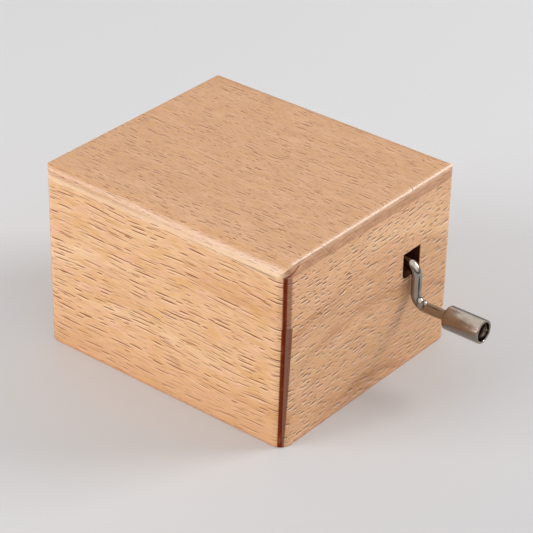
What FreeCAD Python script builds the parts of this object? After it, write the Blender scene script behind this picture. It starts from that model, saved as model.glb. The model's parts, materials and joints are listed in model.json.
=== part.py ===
import FreeCAD, Part
import math
import os
import Sketcher

# A palm-size wooden music box turned by a bent-wire crank. The beech case is a box of mitred boards with a
# hinged lid. Inside, a worm on the crank shaft turns a wheel on the end of a pinned cylinder, and the pins
# pluck the teeth of a steel comb.
#
# Frame: +X to the crank side, +Y to the hinge side, +Z up. The origin is the centre of the case's underside.

doc = FreeCAD.newDocument("HandCrankedMusicBox")
sizes = doc.addObject("Spreadsheet::Sheet", "Sizes")


# ---------------------------------------------------------------------------------------------------------
# Driving sizes, in millimetres
# ---------------------------------------------------------------------------------------------------------

size_rows = []


def size(alias, number):
    """Write one driving size into the sheet and return the name that expressions use for it."""
    row = len(size_rows) + 1
    sizes.set(f"A{row}", str(number))
    sizes.setAlias(f"A{row}", alias)
    size_rows.append(alias)
    return f"Sizes.{alias}"


# Case
case_width = size("case_width", 68.0)
case_depth = size("case_depth", 60.0)
body_height = size("body_height", 29.5)
lid_height = size("lid_height", 15.4)
parting_gap = size("parting_gap", 0.08)
wall_thickness = size("wall_thickness", 6.0)
floor_thickness = size("floor_thickness", 5.0)
top_thickness = size("top_thickness", 3.2)
corner_radius = size("corner_radius", 2.8)
end_round = size("end_round", 1.3)
back_round = size("back_round", 2.8)
front_round_left = size("front_round_left", 1.9)
front_round_right = size("front_round_right", 3.8)
slot_width = size("slot_width", 6.2)
slot_corner_radius = size("slot_corner_radius", 1.6)

# Hinges in the groove along the back
hinge_spacing = size("hinge_spacing", 38.0)
hinge_length = size("hinge_length", 14.0)
leaf_width = size("leaf_width", 5.2)
leaf_thickness = size("leaf_thickness", 0.8)
knuckle_radius = size("knuckle_radius", 1.0)
knuckle_clearance = size("knuckle_clearance", 0.3)
knuckle_end_gap = size("knuckle_end_gap", 0.2)
pin_inset = size("pin_inset", 0.2)
hinge_pin_radius = size("hinge_pin_radius", 0.5)
groove_half_angle = size("groove_half_angle", 56.6)

# Crank
wire_diameter = size("wire_diameter", 2.4)
shaft_drop = size("shaft_drop", 3.4)
shaft_from_back_wall = size("shaft_from_back_wall", 9.7)
arm_gap = size("arm_gap", 0.4)
bend_radius = size("bend_radius", 2.8)
crank_throw = size("crank_throw", 9.6)
knob_standoff = size("knob_standoff", 10.3)
knob_length = size("knob_length", 9.6)
knob_diameter = size("knob_diameter", 5.6)
knob_edge_radius = size("knob_edge_radius", 0.6)
knob_recess_radius = size("knob_recess_radius", 2.2)
knob_recess_depth = size("knob_recess_depth", 2.4)
peened_head_radius = size("peened_head_radius", 1.7)
peened_head_thickness = size("peened_head_thickness", 0.8)
ear_span = size("ear_span", 3.6)
ear_thickness = size("ear_thickness", 1.0)
running_clearance = size("running_clearance", 0.06)
end_play = size("end_play", 0.15)

# Worm and wheel
gear_module = size("gear_module", 0.5)
wheel_teeth = size("wheel_teeth", 24)
wheel_width = size("wheel_width", 4.4)
worm_pitch_diameter = size("worm_pitch_diameter", 4.4)
thread_turns = size("thread_turns", 4)
worm_backlash = size("worm_backlash", 0.05)
wheel_backlash = size("wheel_backlash", 0.09)

# Pinned cylinder
drum_radius = size("drum_radius", 6.3)
drum_wall = size("drum_wall", 0.6)
pin_radius = size("pin_radius", 0.2)
pin_height = size("pin_height", 0.8)
pin_root = size("pin_root", 0.3)
arbor_radius = size("arbor_radius", 1.0)
drum_to_wheel = size("drum_to_wheel", 1.4)
front_hub_length = size("front_hub_length", 2.2)
rear_hub_length = size("rear_hub_length", 0.7)
hub_radius = size("hub_radius", 3.0)

# Comb
note_pitch = size("note_pitch", 1.05)
slit_width = size("slit_width", 0.28)
comb_thickness = size("comb_thickness", 2.0)
tooth_thickness = size("tooth_thickness", 0.8)
tip_thickness = size("tip_thickness", 0.45)
longest_tooth = size("longest_tooth", 17.0)
shortest_tooth = size("shortest_tooth", 10.0)
comb_base_length = size("comb_base_length", 9.0)
comb_rise = size("comb_rise", 0.6)
tip_clearance = size("tip_clearance", 0.06)
lead_height = size("lead_height", 1.5)
lead_length = size("lead_length", 3.6)

# Cast bedplate
bed_thickness = size("bed_thickness", 2.5)
bed_drop = size("bed_drop", 6.4)
bed_side_gap = size("bed_side_gap", 2.0)
bed_margin = size("bed_margin", 0.8)
bed_corner_radius = size("bed_corner_radius", 3.0)
well_clearance = size("well_clearance", 0.5)
cradle_thickness = size("cradle_thickness", 3.0)
cradle_width = size("cradle_width", 8.0)
strap_thickness = size("strap_thickness", 0.8)
post_thickness = size("post_thickness", 2.6)
post_radius = size("post_radius", 3.2)
bracket_thickness = size("bracket_thickness", 1.6)
bracket_foot = size("bracket_foot", 4.5)
bracket_radius = size("bracket_radius", 4.0)
foot_radius = size("foot_radius", 3.0)

notes = 18
pins_on_cylinder = 54
weighted_teeth = 7
pressure_angle = "20 deg"
thread_facets = 20
knob_edge_facets = 3

doc.recompute()


def value(expression):
    """Work out an expression in the sheet's sizes as a plain number."""
    result = sizes.evalExpression(expression)
    return float(getattr(result, "Value", result))


# ---------------------------------------------------------------------------------------------------------
# Places worked out from the driving sizes
# ---------------------------------------------------------------------------------------------------------

half_width = f"({case_width} / 2)"
half_depth = f"({case_depth} / 2)"
inner_x = f"({half_width} - {wall_thickness})"
inner_y = f"({half_depth} - {wall_thickness})"
lid_base = f"({body_height} + {parting_gap})"
case_top = f"({lid_base} + {lid_height})"
rail_height = f"({lid_height} - {top_thickness})"
seam_z = f"({body_height} + {parting_gap} / 2)"

# Hinge axis, and the groove that gives the knuckles room
hinge_y = f"({half_depth} - {pin_inset})"
knuckle_room = f"({knuckle_radius} + {knuckle_clearance})"
groove_depth = f"({pin_inset} + {knuckle_room} / sin({groove_half_angle} * 1 deg))"
groove_slope = f"tan({groove_half_angle} * 1 deg)"

# Crank shaft, and the cylinder below it at the worm and wheel's centre distance
shaft_radius = f"({wire_diameter} / 2)"
shaft_bore = f"({shaft_radius} + {running_clearance})"
shaft_y = f"({inner_y} - {shaft_from_back_wall})"
shaft_z = f"({body_height} - {shaft_drop})"
wheel_radius = f"({wheel_teeth} * {gear_module} / 2)"
wheel_tip_radius = f"({wheel_radius} + {gear_module})"
worm_radius = f"({worm_pitch_diameter} / 2)"
worm_core_radius = f"({worm_radius} - 1.2 * {gear_module})"
worm_pitch = f"({gear_module} * pi)"
drum_z = f"({shaft_z} - {wheel_radius} - {worm_radius})"

# Along X: bedplate edge, comb, pin circle, cylinder axis, crank cradles
bed_left = f"({bed_side_gap} - {inner_x})"
comb_back = f"({bed_left} + {bed_margin})"
comb_tip = f"({comb_back} + {comb_base_length} + {longest_tooth})"
pin_circle = f"({drum_radius} + {pin_height})"
drum_x = f"({comb_tip} + {tip_clearance} + {pin_circle})"
well_half = f"(max({pin_circle}; {wheel_tip_radius}) + {well_clearance})"
cradle_outer = f"({well_half} + {cradle_thickness})"
bed_right = f"({drum_x} + {cradle_outer} + {bed_margin})"

# Along Y: rear post, wheel, cylinder, front bracket, bedplate edge
wheel_front = f"({shaft_y} - {wheel_width} / 2)"
wheel_rear = f"({shaft_y} + {wheel_width} / 2)"
drum_length = f"({notes + 2} * {note_pitch})"
drum_rear = f"({wheel_front} - {drum_to_wheel})"
drum_front = f"({drum_rear} - {drum_length})"
drum_middle = f"({drum_rear} - {drum_length} / 2)"
post_face = f"({wheel_rear} + {rear_hub_length} + {end_play})"
post_rear = f"({post_face} + {post_thickness})"
bracket_face = f"({drum_front} - {front_hub_length} - {end_play})"
bracket_front = f"({bracket_face} - {bracket_thickness})"
bed_rear = f"({post_rear} + {bed_margin})"
bed_front = f"({bracket_front} - {bracket_foot} - {bed_margin})"
arbor_front = f"({bracket_front} - {bed_margin})"
comb_width = f"({notes} * {note_pitch})"
comb_front = f"({drum_middle} - {comb_width} / 2)"

# Along Z: bedplate, comb and its ledge
bed_top = f"({drum_z} - {bed_drop})"
bed_base = f"({bed_top} - {bed_thickness})"
comb_top = f"({drum_z} + {comb_rise})"
comb_underside = f"({comb_top} - {comb_thickness})"
tooth_underside = f"({comb_top} - {tooth_thickness})"
cradle_top = f"({shaft_z} + {shaft_bore})"


# ---------------------------------------------------------------------------------------------------------
# Modelling helpers: every size and place they take is an expression in the sheet's sizes
# ---------------------------------------------------------------------------------------------------------

AXIS_TURNS = {
    "X": FreeCAD.Rotation(FreeCAD.Vector(0, 1, 0), 90),
    "Y": FreeCAD.Rotation(FreeCAD.Vector(1, 0, 0), -90),
    "Z": FreeCAD.Rotation(),
}
parts = []


def bind(thing, **expressions):
    """Tie properties of an object to expressions."""
    for name, expression in expressions.items():
        thing.setExpression(name, expression)


def place(thing, x, y, z, turn=None):
    """Put an object at a point given by expressions, turned by a fixed rotation."""
    if turn is not None:
        thing.Placement = FreeCAD.Placement(FreeCAD.Vector(), turn)
    thing.setExpression("Placement.Base.x", x)
    thing.setExpression("Placement.Base.y", y)
    thing.setExpression("Placement.Base.z", z)


def block(name, x, y, z):
    """Box between two planes on each axis; x, y and z are pairs of expressions."""
    solid = doc.addObject("Part::Box", name)
    bind(solid, Length=f"{x[1]} - {x[0]}", Width=f"{y[1]} - {y[0]}", Height=f"{z[1]} - {z[0]}")
    place(solid, x[0], y[0], z[0])
    return solid


def rod(name, axis, start, radius, length):
    """Cylinder along an axis from a start point."""
    solid = doc.addObject("Part::Cylinder", name)
    bind(solid, Radius=radius, Height=length)
    place(solid, *start, turn=AXIS_TURNS[axis])
    return solid


def fuse(name, *solids):
    joined = doc.addObject("Part::MultiFuse", name)
    joined.Shapes = list(solids)
    return joined


def group(name, *solids):
    held = doc.addObject("Part::Compound", name)
    held.Links = list(solids)
    return held


def cut(name, base, *tools):
    remaining = doc.addObject("Part::Cut", name)
    remaining.Base = base
    remaining.Tool = tools[0] if len(tools) == 1 else fuse(f"{name}_tools", *tools)
    return remaining


def common(name, *solids):
    shared = doc.addObject("Part::MultiCommon", name)
    shared.Shapes = list(solids)
    return shared


def node(label, thing):
    """Name a finished sub-part and keep it for export."""
    thing.Label = label
    parts.append(thing)
    return thing


def new_body(name, x="0", y="0", z="0"):
    body = doc.addObject("PartDesign::Body", name)
    place(body, x, y, z)
    return body


def new_sketch(body, role, name, offset="0"):
    """Sketch on one of the body's own origin planes, moved along the plane's normal."""
    sketch = body.newObject("Sketcher::SketchObject", name)
    plane = next(feature for feature in body.Origin.OriginFeatures if feature.Role == role)
    sketch.AttachmentSupport = [(plane, "")]
    sketch.MapMode = "FlatFace"
    sketch.setExpression("AttachmentOffset.Base.z", offset)
    return sketch


def pin_point(sketch, element, end, x, y):
    """Fix one point of a sketch element by its distances from the sketch's origin."""
    for kind, expression in (("DistanceX", x), ("DistanceY", y)):
        rule = Sketcher.Constraint(kind, -1, 1, element, end, value(expression))
        number = sketch.addConstraint(rule)
        sketch.setExpression(f"Constraints[{number}]", expression)


def outline(sketch, corners):
    """Closed straight-sided outline through corners given as pairs of expressions."""
    points = [FreeCAD.Vector(value(x), value(y), 0) for x, y in corners]
    count = len(points)
    for i in range(count):
        sketch.addGeometry(Part.LineSegment(points[i], points[(i + 1) % count]), False)
    for i in range(count):
        sketch.addConstraint(Sketcher.Constraint("Coincident", i, 2, (i + 1) % count, 1))
    for i, (x, y) in enumerate(corners):
        pin_point(sketch, i, 1, x, y)
    return sketch


def rectangle(sketch, x, y):
    """Rectangle between two pairs of expressions."""
    return outline(sketch, [(x[0], y[0]), (x[1], y[0]), (x[1], y[1]), (x[0], y[1])])


def circle(sketch, x, y, radius):
    """Full circle about a point."""
    centre = FreeCAD.Vector(value(x), value(y), 0)
    element = sketch.addGeometry(Part.Circle(centre, FreeCAD.Vector(0, 0, 1), value(radius)), False)
    pin_point(sketch, element, 3, x, y)
    number = sketch.addConstraint(Sketcher.Constraint("Radius", element, value(radius)))
    sketch.setExpression(f"Constraints[{number}]", radius)
    return sketch


def pad(body, name, sketch, length):
    feature = body.newObject("PartDesign::Pad", name)
    feature.Profile = sketch
    bind(feature, Length=length)
    doc.recompute()
    return feature


def revolve(body, name, sketch):
    """Turn a profile a full turn about its sketch's horizontal axis."""
    feature = body.newObject("PartDesign::Revolution", name)
    feature.Profile = sketch
    feature.ReferenceAxis = (sketch, ["H_Axis"])
    feature.Angle = 360
    doc.recompute()
    return feature


def round_edges(body, name, base, radius, wanted):
    """Fillet the edges of a feature whose end points all meet a test."""
    edges = []
    for number, edge in enumerate(base.Shape.Edges, 1):
        if wanted([vertex.Point for vertex in edge.Vertexes]):
            edges.append(f"Edge{number}")
    feature = body.newObject("PartDesign::Fillet", name)
    feature.Base = (base, edges)
    bind(feature, Radius=radius)
    doc.recompute()
    return feature


def is_upright(points):
    """Whether an edge climbs by more than half its length."""
    first, last = points
    return abs(last.z - first.z) > 0.5 * last.sub(first).Length


# ---------------------------------------------------------------------------------------------------------
# Beech case: four mitred boards round a floor, and a lid of four mitred rails under a rounded top
# ---------------------------------------------------------------------------------------------------------

blank = new_body("rounded_blank")
case_x = (f"(-{half_width})", half_width)
case_y = (f"(-{half_depth})", half_depth)
blank_outline = rectangle(new_sketch(blank, "XY_Plane", "blank_outline"), case_x, case_y)
blank_block = pad(blank, "blank_block", blank_outline, case_top)
round_edges(blank, "blank_corners", blank_block, corner_radius, is_upright)

# The groove is a wedge that stands open at the back face and closes to an edge inside the boards
groove_overrun = knuckle_radius
groove_reach = f"(({groove_depth} + {groove_overrun}) * {groove_slope})"
groove = doc.addObject("Part::Wedge", "hinge_groove")
bind(
    groove,
    Xmin=f"-{case_width}",
    Xmax=case_width,
    X2min=f"-{case_width}",
    X2max=case_width,
    Ymin=f"-({half_depth} + {groove_overrun})",
    Ymax=f"-({half_depth} - {groove_depth})",
    Zmin=f"-{groove_reach}",
    Zmax=groove_reach,
    Z2min="0",
    Z2max="0",
)
place(groove, "0", "0", seam_z, turn=FreeCAD.Rotation(FreeCAD.Vector(0, 0, 1), 180))


def mitred_board(name, quarter_turns, run, face, base, height):
    """Board with its ends mitred at 45 degrees and its outer corners rounded.

    The board stands at the front and is turned about the case's middle to its own side.
    """
    wedge = doc.addObject("Part::Wedge", f"{name}_wedge")
    bind(
        wedge,
        Xmin=f"-{run}",
        Xmax=run,
        X2min=f"{wall_thickness} - {run}",
        X2max=f"{run} - {wall_thickness}",
        Ymin=f"-{face}",
        Ymax=f"{wall_thickness} - {face}",
        Zmin="0",
        Zmax=height,
        Z2min="0",
        Z2max=height,
    )
    place(wedge, "0", "0", base, turn=FreeCAD.Rotation(FreeCAD.Vector(0, 0, 1), 90 * quarter_turns))
    return common(f"{name}_rounded", wedge, blank)


def case_board(name, quarter_turns, run, face, *tools):
    board = mitred_board(name, quarter_turns, run, face, "0", body_height)
    return cut(f"{name}_cut", board, *tools) if tools else board


def lid_rail(name, quarter_turns, run, face, *tools):
    rail = mitred_board(name, quarter_turns, run, face, lid_base, rail_height)
    return cut(f"{name}_cut", rail, *tools) if tools else rail


# The crank's slot is an upright notch in the top edge of the crank-side board
slot = new_body("crank_slot", z=shaft_z)
slot_outline = rectangle(
    new_sketch(slot, "YZ_Plane", "slot_outline", f"{inner_x} - {wall_thickness}"),
    (f"{shaft_y} - {slot_width} / 2", f"{shaft_y} + {slot_width} / 2"),
    (f"-{slot_width} / 2", f"{shaft_drop} + {wall_thickness}"),
)
slot_block = pad(slot, "slot_block", slot_outline, f"3 * {wall_thickness}")
round_edges(
    slot,
    "slot_corners",
    slot_block,
    slot_corner_radius,
    lambda points: all(point.z < 0 for point in points) and abs(points[0].x - points[1].x) > 1,
)


# ---------------------------------------------------------------------------------------------------------
# Hinges: a pair of small brass butt hinges let into the two halves, knuckles in the groove
# ---------------------------------------------------------------------------------------------------------

hinge_inner_y = f"({hinge_y} - {leaf_width})"
knuckle_share = f"({hinge_length} / 3)"
leaf_back = f"({hinge_y} - {knuckle_room})"
leaf_levels = {
    "lower": (f"({body_height} - {leaf_thickness})", body_height),
    "upper": (lid_base, f"({lid_base} + {leaf_thickness})"),
}
hinge_sides = {"left": f"(-{hinge_spacing} / 2)", "right": f"({hinge_spacing} / 2)"}


def knuckle_spans(middle, level):
    """Stretches along X of the knuckles that belong to one leaf: the outer two, or the one between them."""
    half_share = f"({knuckle_share} / 2)"
    if level == "upper":
        reach = f"({half_share} - {knuckle_end_gap})"
        return [(f"({middle} - {reach})", f"({middle} + {reach})")]
    half = f"({hinge_length} / 2)"
    return [
        (f"({middle} - {half})", f"({middle} - {half_share})"),
        (f"({middle} + {half_share})", f"({middle} + {half})"),
    ]


def hinge_leaf(side, level):
    """One leaf with its knuckles. The lower leaf carries the pin and the upper one is bored to turn on it."""
    middle = hinge_sides[side]
    name = f"{side}_{level}_leaf"
    low, high = leaf_levels[level]
    half = f"({hinge_length} / 2)"
    span = (f"({middle} - {half})", f"({middle} + {half})")
    pieces = [block(f"{name}_plate", span, (hinge_inner_y, leaf_back), (low, high))]
    for i, reach in enumerate(knuckle_spans(middle, level)):
        pieces.append(block(f"{name}_finger_{i}", reach, (leaf_back, hinge_y), (low, high)))
        length = f"({reach[1]} - {reach[0]})"
        pieces.append(rod(f"{name}_knuckle_{i}", "X", (reach[0], hinge_y, seam_z), knuckle_radius, length))
    start = (span[0], hinge_y, seam_z)
    if level == "lower":
        return fuse(name, *pieces, rod(f"{name}_pin", "X", start, hinge_pin_radius, hinge_length))
    bore = rod(f"{name}_bore", "X", start, f"({hinge_pin_radius} + {running_clearance})", hinge_length)
    return cut(name, fuse(f"{name}_blank", *pieces), bore)


def hinge_recesses(level):
    """Recesses for the leaves in the back board or the back rail."""
    recesses = []
    depth = (hinge_inner_y, half_depth)
    for side, middle in hinge_sides.items():
        half = f"({hinge_length} / 2)"
        span = (f"({middle} - {half})", f"({middle} + {half})")
        recesses.append(block(f"{side}_{level}_recess", span, depth, leaf_levels[level]))
    return recesses


node("front_board", case_board("front_board", 0, half_width, half_depth))
node("right_board", case_board("right_board", 1, half_depth, half_width, slot, groove))
node("back_board", case_board("back_board", 2, half_width, half_depth, groove, *hinge_recesses("lower")))
node("left_board", case_board("left_board", 3, half_depth, half_width, groove))
node("lid_front_rail", lid_rail("lid_front_rail", 0, half_width, half_depth))
node("lid_right_rail", lid_rail("lid_right_rail", 1, half_depth, half_width, groove))
node("lid_back_rail", lid_rail("lid_back_rail", 2, half_width, half_depth, groove, *hinge_recesses("upper")))
node("lid_left_rail", lid_rail("lid_left_rail", 3, half_depth, half_width, groove))

# Top board of the lid: the plan with its upright corners, the small rounds of its two ends and the larger round
# of its back edge, each cut straight through
panel_base = f"({lid_base} + {rail_height})"
round_overrun = f"(2 * {corner_radius})"
past_width = (f"(-{half_width} - {round_overrun})", f"({half_width} + {round_overrun})")
past_depth = (f"(-{half_depth} - {round_overrun})", f"({half_depth} + {round_overrun})")


def top_blank(name, x, y):
    """Plain board as thick as the lid's top."""
    body = new_body(f"{name}_body", z=panel_base)
    plan = rectangle(new_sketch(body, "XY_Plane", f"{name}_outline"), x, y)
    return body, pad(body, f"{name}_pad", plan, top_thickness)


def on_top(points):
    return all(point.z > value(top_thickness) - 1e-6 for point in points)


plan_body, plan_pad = top_blank("top_plan", case_x, case_y)
round_edges(plan_body, "top_plan_corners", plan_pad, corner_radius, is_upright)
ends_body, ends_pad = top_blank("top_ends", case_x, past_depth)
round_edges(
    ends_body,
    "top_end_rounds",
    ends_pad,
    end_round,
    lambda points: on_top(points) and abs(points[0].x - points[1].x) < 1e-6,
)
back_body, back_pad = top_blank("top_back", past_width, case_y)
round_edges(
    back_body,
    "top_back_round",
    back_pad,
    back_round,
    lambda points: on_top(points) and all(point.y > 0 for point in points),
)

# The round of its front edge grows from left to right: what a cone leaves that lies along the edge and touches
# both the front and the top
round_slope = f"(({front_round_right} - {front_round_left}) / {case_width})"
round_at_start = f"({front_round_left} - {round_slope} * {round_overrun})"
round_at_end = f"({front_round_right} + {round_slope} * {round_overrun})"
cone_stretch = f"sqrt(1 + 2 * {round_slope} ^ 2)"
cone_spread = f"sqrt((1 + 2 * {round_slope} ^ 2) / (1 + {round_slope} ^ 2))"
front_waste = doc.addObject("Part::Wedge", "front_waste")
bind(
    front_waste,
    Ymin=past_width[0],
    Ymax=past_width[1],
    Xmin=f"{half_depth} - {round_at_start}",
    Xmax=f"{half_depth} + {round_overrun}",
    X2min=f"{half_depth} - {round_at_end}",
    X2max=f"{half_depth} + {round_overrun}",
    Zmin=f"-{round_at_start}",
    Zmax=round_overrun,
    Z2min=f"-{round_at_end}",
    Z2max=round_overrun,
)
place(front_waste, "0", "0", case_top, turn=FreeCAD.Rotation(FreeCAD.Vector(0, 0, 1), -90))
cone_start = f"({past_width[0]} - {round_overrun})"
round_at_cone_start = f"({round_at_start} - {round_slope} * {round_overrun})"
round_at_cone_end = f"({round_at_end} + {round_slope} * {round_overrun})"
front_cone = doc.addObject("Part::Cone", "front_cone")
bind(
    front_cone,
    Radius1=f"{round_at_cone_start} * {cone_spread}",
    Radius2=f"{round_at_cone_end} * {cone_spread}",
    Height=f"({case_width} + 4 * {round_overrun}) * {cone_stretch}",
    Placement=f"placement(vector({cone_start}; {round_at_cone_start} - {half_depth}; "
    f"{case_top} - {round_at_cone_start}); "
    f"rotation(vector(-{round_slope}; 1; 0); acos(-{round_slope} / {cone_stretch})))",
)
front_tool = cut("front_tool", front_waste, front_cone)
lid_top = cut("lid_top_cut", common("lid_top_rounds", plan_body, ends_body, back_body), front_tool)
node("lid_top_panel", lid_top)

for level in leaf_levels:
    leaves = [hinge_leaf(side, level) for side in hinge_sides]
    node(f"hinge_leaves_{level}", group(f"hinge_leaves_{level}", *leaves))


# ---------------------------------------------------------------------------------------------------------
# Floor board, and the cast bedplate: plate on three feet, well under the cylinder, comb ledge, rear post and
# crank cradles
# ---------------------------------------------------------------------------------------------------------

floor = block("floor", (f"(-{inner_x})", inner_x), (f"(-{inner_y})", inner_y), ("0", floor_thickness))
node("floor_board", floor)

bed_plate = new_body("bed_plate", z=bed_base)
bed_outline = rectangle(
    new_sketch(bed_plate, "XY_Plane", "bed_outline"), (bed_left, bed_right), (bed_front, bed_rear)
)
bed_pad = pad(bed_plate, "bed_pad", bed_outline, bed_thickness)
round_edges(bed_plate, "bed_corners", bed_pad, bed_corner_radius, is_upright)

root_shift = f"({longest_tooth} - {shortest_tooth})"
comb_rear = f"({comb_front} + {comb_width})"
ledge = new_body("comb_ledge", z=bed_top)
ledge_outline = outline(
    new_sketch(ledge, "XY_Plane", "ledge_outline"),
    [
        (comb_back, comb_front),
        (f"({comb_back} + {comb_base_length})", comb_front),
        (f"({comb_back} + {comb_base_length} + {root_shift})", comb_rear),
        (comb_back, comb_rear),
    ],
)
pad(ledge, "ledge_pad", ledge_outline, f"{comb_underside} - {bed_top}")

bed_pieces = [bed_plate, ledge]
foot_places = {
    "rear_left": (f"({bed_left} + {foot_radius} + {bed_margin})", f"({bed_rear} - {foot_radius})"),
    "rear_right": (f"({bed_right} - {foot_radius})", f"({bed_rear} - {foot_radius})"),
    "front": (f"(({bed_left} + {drum_x}) / 2)", f"({bed_front} + {foot_radius} + {bed_margin})"),
}
for name, (x, y) in foot_places.items():
    start = (x, y, floor_thickness)
    bed_pieces.append(rod(f"{name}_foot", "Z", start, foot_radius, f"{bed_base} - {floor_thickness}"))

post_x = (f"({drum_x} - {post_radius})", f"({drum_x} + {post_radius})")
bed_pieces.append(block("post_block", post_x, (post_face, post_rear), (bed_top, drum_z)))
bed_pieces.append(rod("post_head", "Y", (drum_x, post_face, drum_z), post_radius, post_thickness))

cradle_sides = {
    "inner": (f"({drum_x} - {cradle_outer})", f"({drum_x} - {well_half})"),
    "outer": (f"({drum_x} + {well_half})", f"({drum_x} + {cradle_outer})"),
}
cradle_y = (f"({shaft_y} - {cradle_width} / 2)", f"({shaft_y} + {cradle_width} / 2)")
for name, span in cradle_sides.items():
    bed_pieces.append(block(f"{name}_cradle", span, cradle_y, (bed_top, cradle_top)))

arbor_bore = f"({arbor_radius} + {running_clearance})"
bed_bores = [
    block(
        "drum_well",
        (f"({drum_x} - {well_half})", f"({drum_x} + {well_half})"),
        (f"({drum_front} - {well_clearance})", f"({wheel_rear} + {running_clearance})"),
        (f"({bed_base} - {bed_margin})", f"({bed_top} + {bed_margin})"),
    ),
    rod("arbor_bore", "Y", (drum_x, drum_middle, drum_z), arbor_bore, drum_length),
    rod("shaft_bore", "X", (f"({drum_x} - {case_width} / 2)", shaft_y, shaft_z), shaft_bore, case_width),
    block(
        "shaft_opening",
        (f"({drum_x} - {case_width} / 2)", f"({drum_x} + {case_width} / 2)"),
        (f"({shaft_y} - {shaft_bore})", f"({shaft_y} + {shaft_bore})"),
        (shaft_z, f"({cradle_top} + {bed_margin})"),
    ),
]
node("bedplate", cut("bedplate_cut", fuse("bedplate_blank", *bed_pieces), *bed_bores))


# ---------------------------------------------------------------------------------------------------------
# Comb: graded teeth slit into one steel plate, with lead weights under the low notes
# ---------------------------------------------------------------------------------------------------------

comb_base = new_body("comb_base", z=comb_underside)
comb_outline = outline(
    new_sketch(comb_base, "XY_Plane", "comb_outline"),
    [
        (comb_back, comb_front),
        (f"({comb_back} + {comb_base_length})", comb_front),
        (f"({comb_back} + {comb_base_length} + {root_shift})", comb_rear),
        (comb_back, comb_rear),
    ],
)
pad(comb_base, "comb_base_pad", comb_outline, comb_thickness)
comb_y = (comb_front, comb_rear)
tooth_sheet = block("tooth_sheet", (comb_back, comb_tip), comb_y, (tooth_underside, comb_top))

comb_cuts = []
for i in range(notes - 1):
    root = f"({comb_back} + {comb_base_length} + {root_shift} * {i + 1} / {notes})"
    middle = f"({comb_front} + {i + 1} * {note_pitch})"
    comb_cuts.append(
        block(
            f"slit_{i}",
            (root, f"({comb_tip} + {bed_margin})"),
            (f"({middle} - {slit_width} / 2)", f"({middle} + {slit_width} / 2)"),
            (f"({comb_underside} - {bed_margin})", f"({comb_top} + {bed_margin})"),
        )
    )
# The tips are ground thinner from above over the last few millimetres
tip_bevel = f"({shortest_tooth} / 4)"
bevel_body = new_body("tip_bevel", y=comb_rear)
bevel_outline = outline(
    new_sketch(bevel_body, "XZ_Plane", "bevel_outline"),
    [
        (f"({comb_tip} - {tip_bevel})", comb_top),
        (comb_tip, f"({comb_top} - {tooth_thickness} + {tip_thickness})"),
        (comb_tip, comb_top),
    ],
)
pad(bevel_body, "bevel_pad", bevel_outline, comb_width)
comb_cuts.append(bevel_body)

node("comb", cut("comb_cut", fuse("comb_blank", comb_base, tooth_sheet), *comb_cuts))

leads = []
for i in range(weighted_teeth):
    middle = f"({comb_front} + {i + 0.5} * {note_pitch})"
    half = f"(({note_pitch} - {slit_width}) / 2)"
    share = f"(1 - {i} / {2 * weighted_teeth})"
    front_end = f"({comb_tip} - {tip_bevel})"
    leads.append(
        block(
            f"lead_{i}",
            (f"({front_end} - {lead_length} * {share})", front_end),
            (f"({middle} - {half})", f"({middle} + {half})"),
            (f"({tooth_underside} - {lead_height} * {share})", tooth_underside),
        )
    )
node("comb_leads", group("comb_leads", *leads))


# ---------------------------------------------------------------------------------------------------------
# Straps that keep the crank shaft in its cradles, and the front bracket of the cylinder
# ---------------------------------------------------------------------------------------------------------

strap_top = f"({cradle_top} + {strap_thickness})"
straps = []
for name, span in cradle_sides.items():
    straps.append(block(f"{name}_strap", span, cradle_y, (cradle_top, strap_top)))
node("shaft_straps", group("shaft_straps", *straps))

bracket_x = (f"({drum_x} - {bracket_radius})", f"({drum_x} + {bracket_radius})")
bracket_blank = fuse(
    "bracket_blank",
    block("bracket_upright", bracket_x, (bracket_front, bracket_face), (bed_top, drum_z)),
    rod("bracket_head", "Y", (drum_x, bracket_front, drum_z), bracket_radius, bracket_thickness),
    block(
        "bracket_flange",
        bracket_x,
        (f"({bracket_front} - {bracket_foot})", bracket_face),
        (bed_top, f"({bed_top} + {bracket_thickness})"),
    ),
)
bracket_bore = rod("bracket_bore", "Y", (drum_x, arbor_front, drum_z), arbor_bore, f"2 * {bracket_foot}")
node("front_bracket", cut("front_bracket_cut", bracket_blank, bracket_bore))


# ---------------------------------------------------------------------------------------------------------
# Pinned cylinder on its arbor, with the worm wheel at the rear end
# ---------------------------------------------------------------------------------------------------------

drum_bore = f"({drum_radius} - {drum_wall})"
drum = new_body("drum_tube", drum_x, drum_rear, drum_z)
drum_ring = new_sketch(drum, "XZ_Plane", "drum_ring")
circle(drum_ring, "0", "0", drum_radius)
circle(drum_ring, "0", "0", drum_bore)
pad(drum, "drum_pad", drum_ring, drum_length)
node("cylinder_tube", drum)

# The pins rise radially in one row per note, on a steady up-and-down run of notes


def six_sided_pin(foot, outward, radius, length):
    """Straight pin with six flats, from its foot along a direction square to the cylinder's axis."""
    side = FreeCAD.Vector(0, 1, 0)
    across = outward.cross(side)
    turns = [math.pi * i / 3 for i in range(7)]
    corners = [foot + side * (radius * math.cos(turn)) + across * (radius * math.sin(turn)) for turn in turns]
    return Part.Face(Part.makePolygon(corners)).extrude(outward * length)


pins = []
root_radius = value(drum_radius) - value(pin_root)
pin_length = value(pin_height) + value(pin_root)
for step in range(pins_on_cylinder):
    note = abs((5 * step) % (2 * notes) - notes) % notes
    turn = 2 * math.pi * step / pins_on_cylinder
    outward = FreeCAD.Vector(math.cos(turn), 0, math.sin(turn))
    row = value(comb_front) + (note + 0.5) * value(note_pitch)
    foot = FreeCAD.Vector(value(drum_x), row, value(drum_z)) + outward * root_radius
    pins.append(six_sided_pin(foot, outward, value(pin_radius), pin_length))
tune_pins = doc.addObject("Part::Feature", "tune_pins")
tune_pins.Shape = Part.makeCompound(pins)
node("tune_pins", tune_pins)

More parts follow.
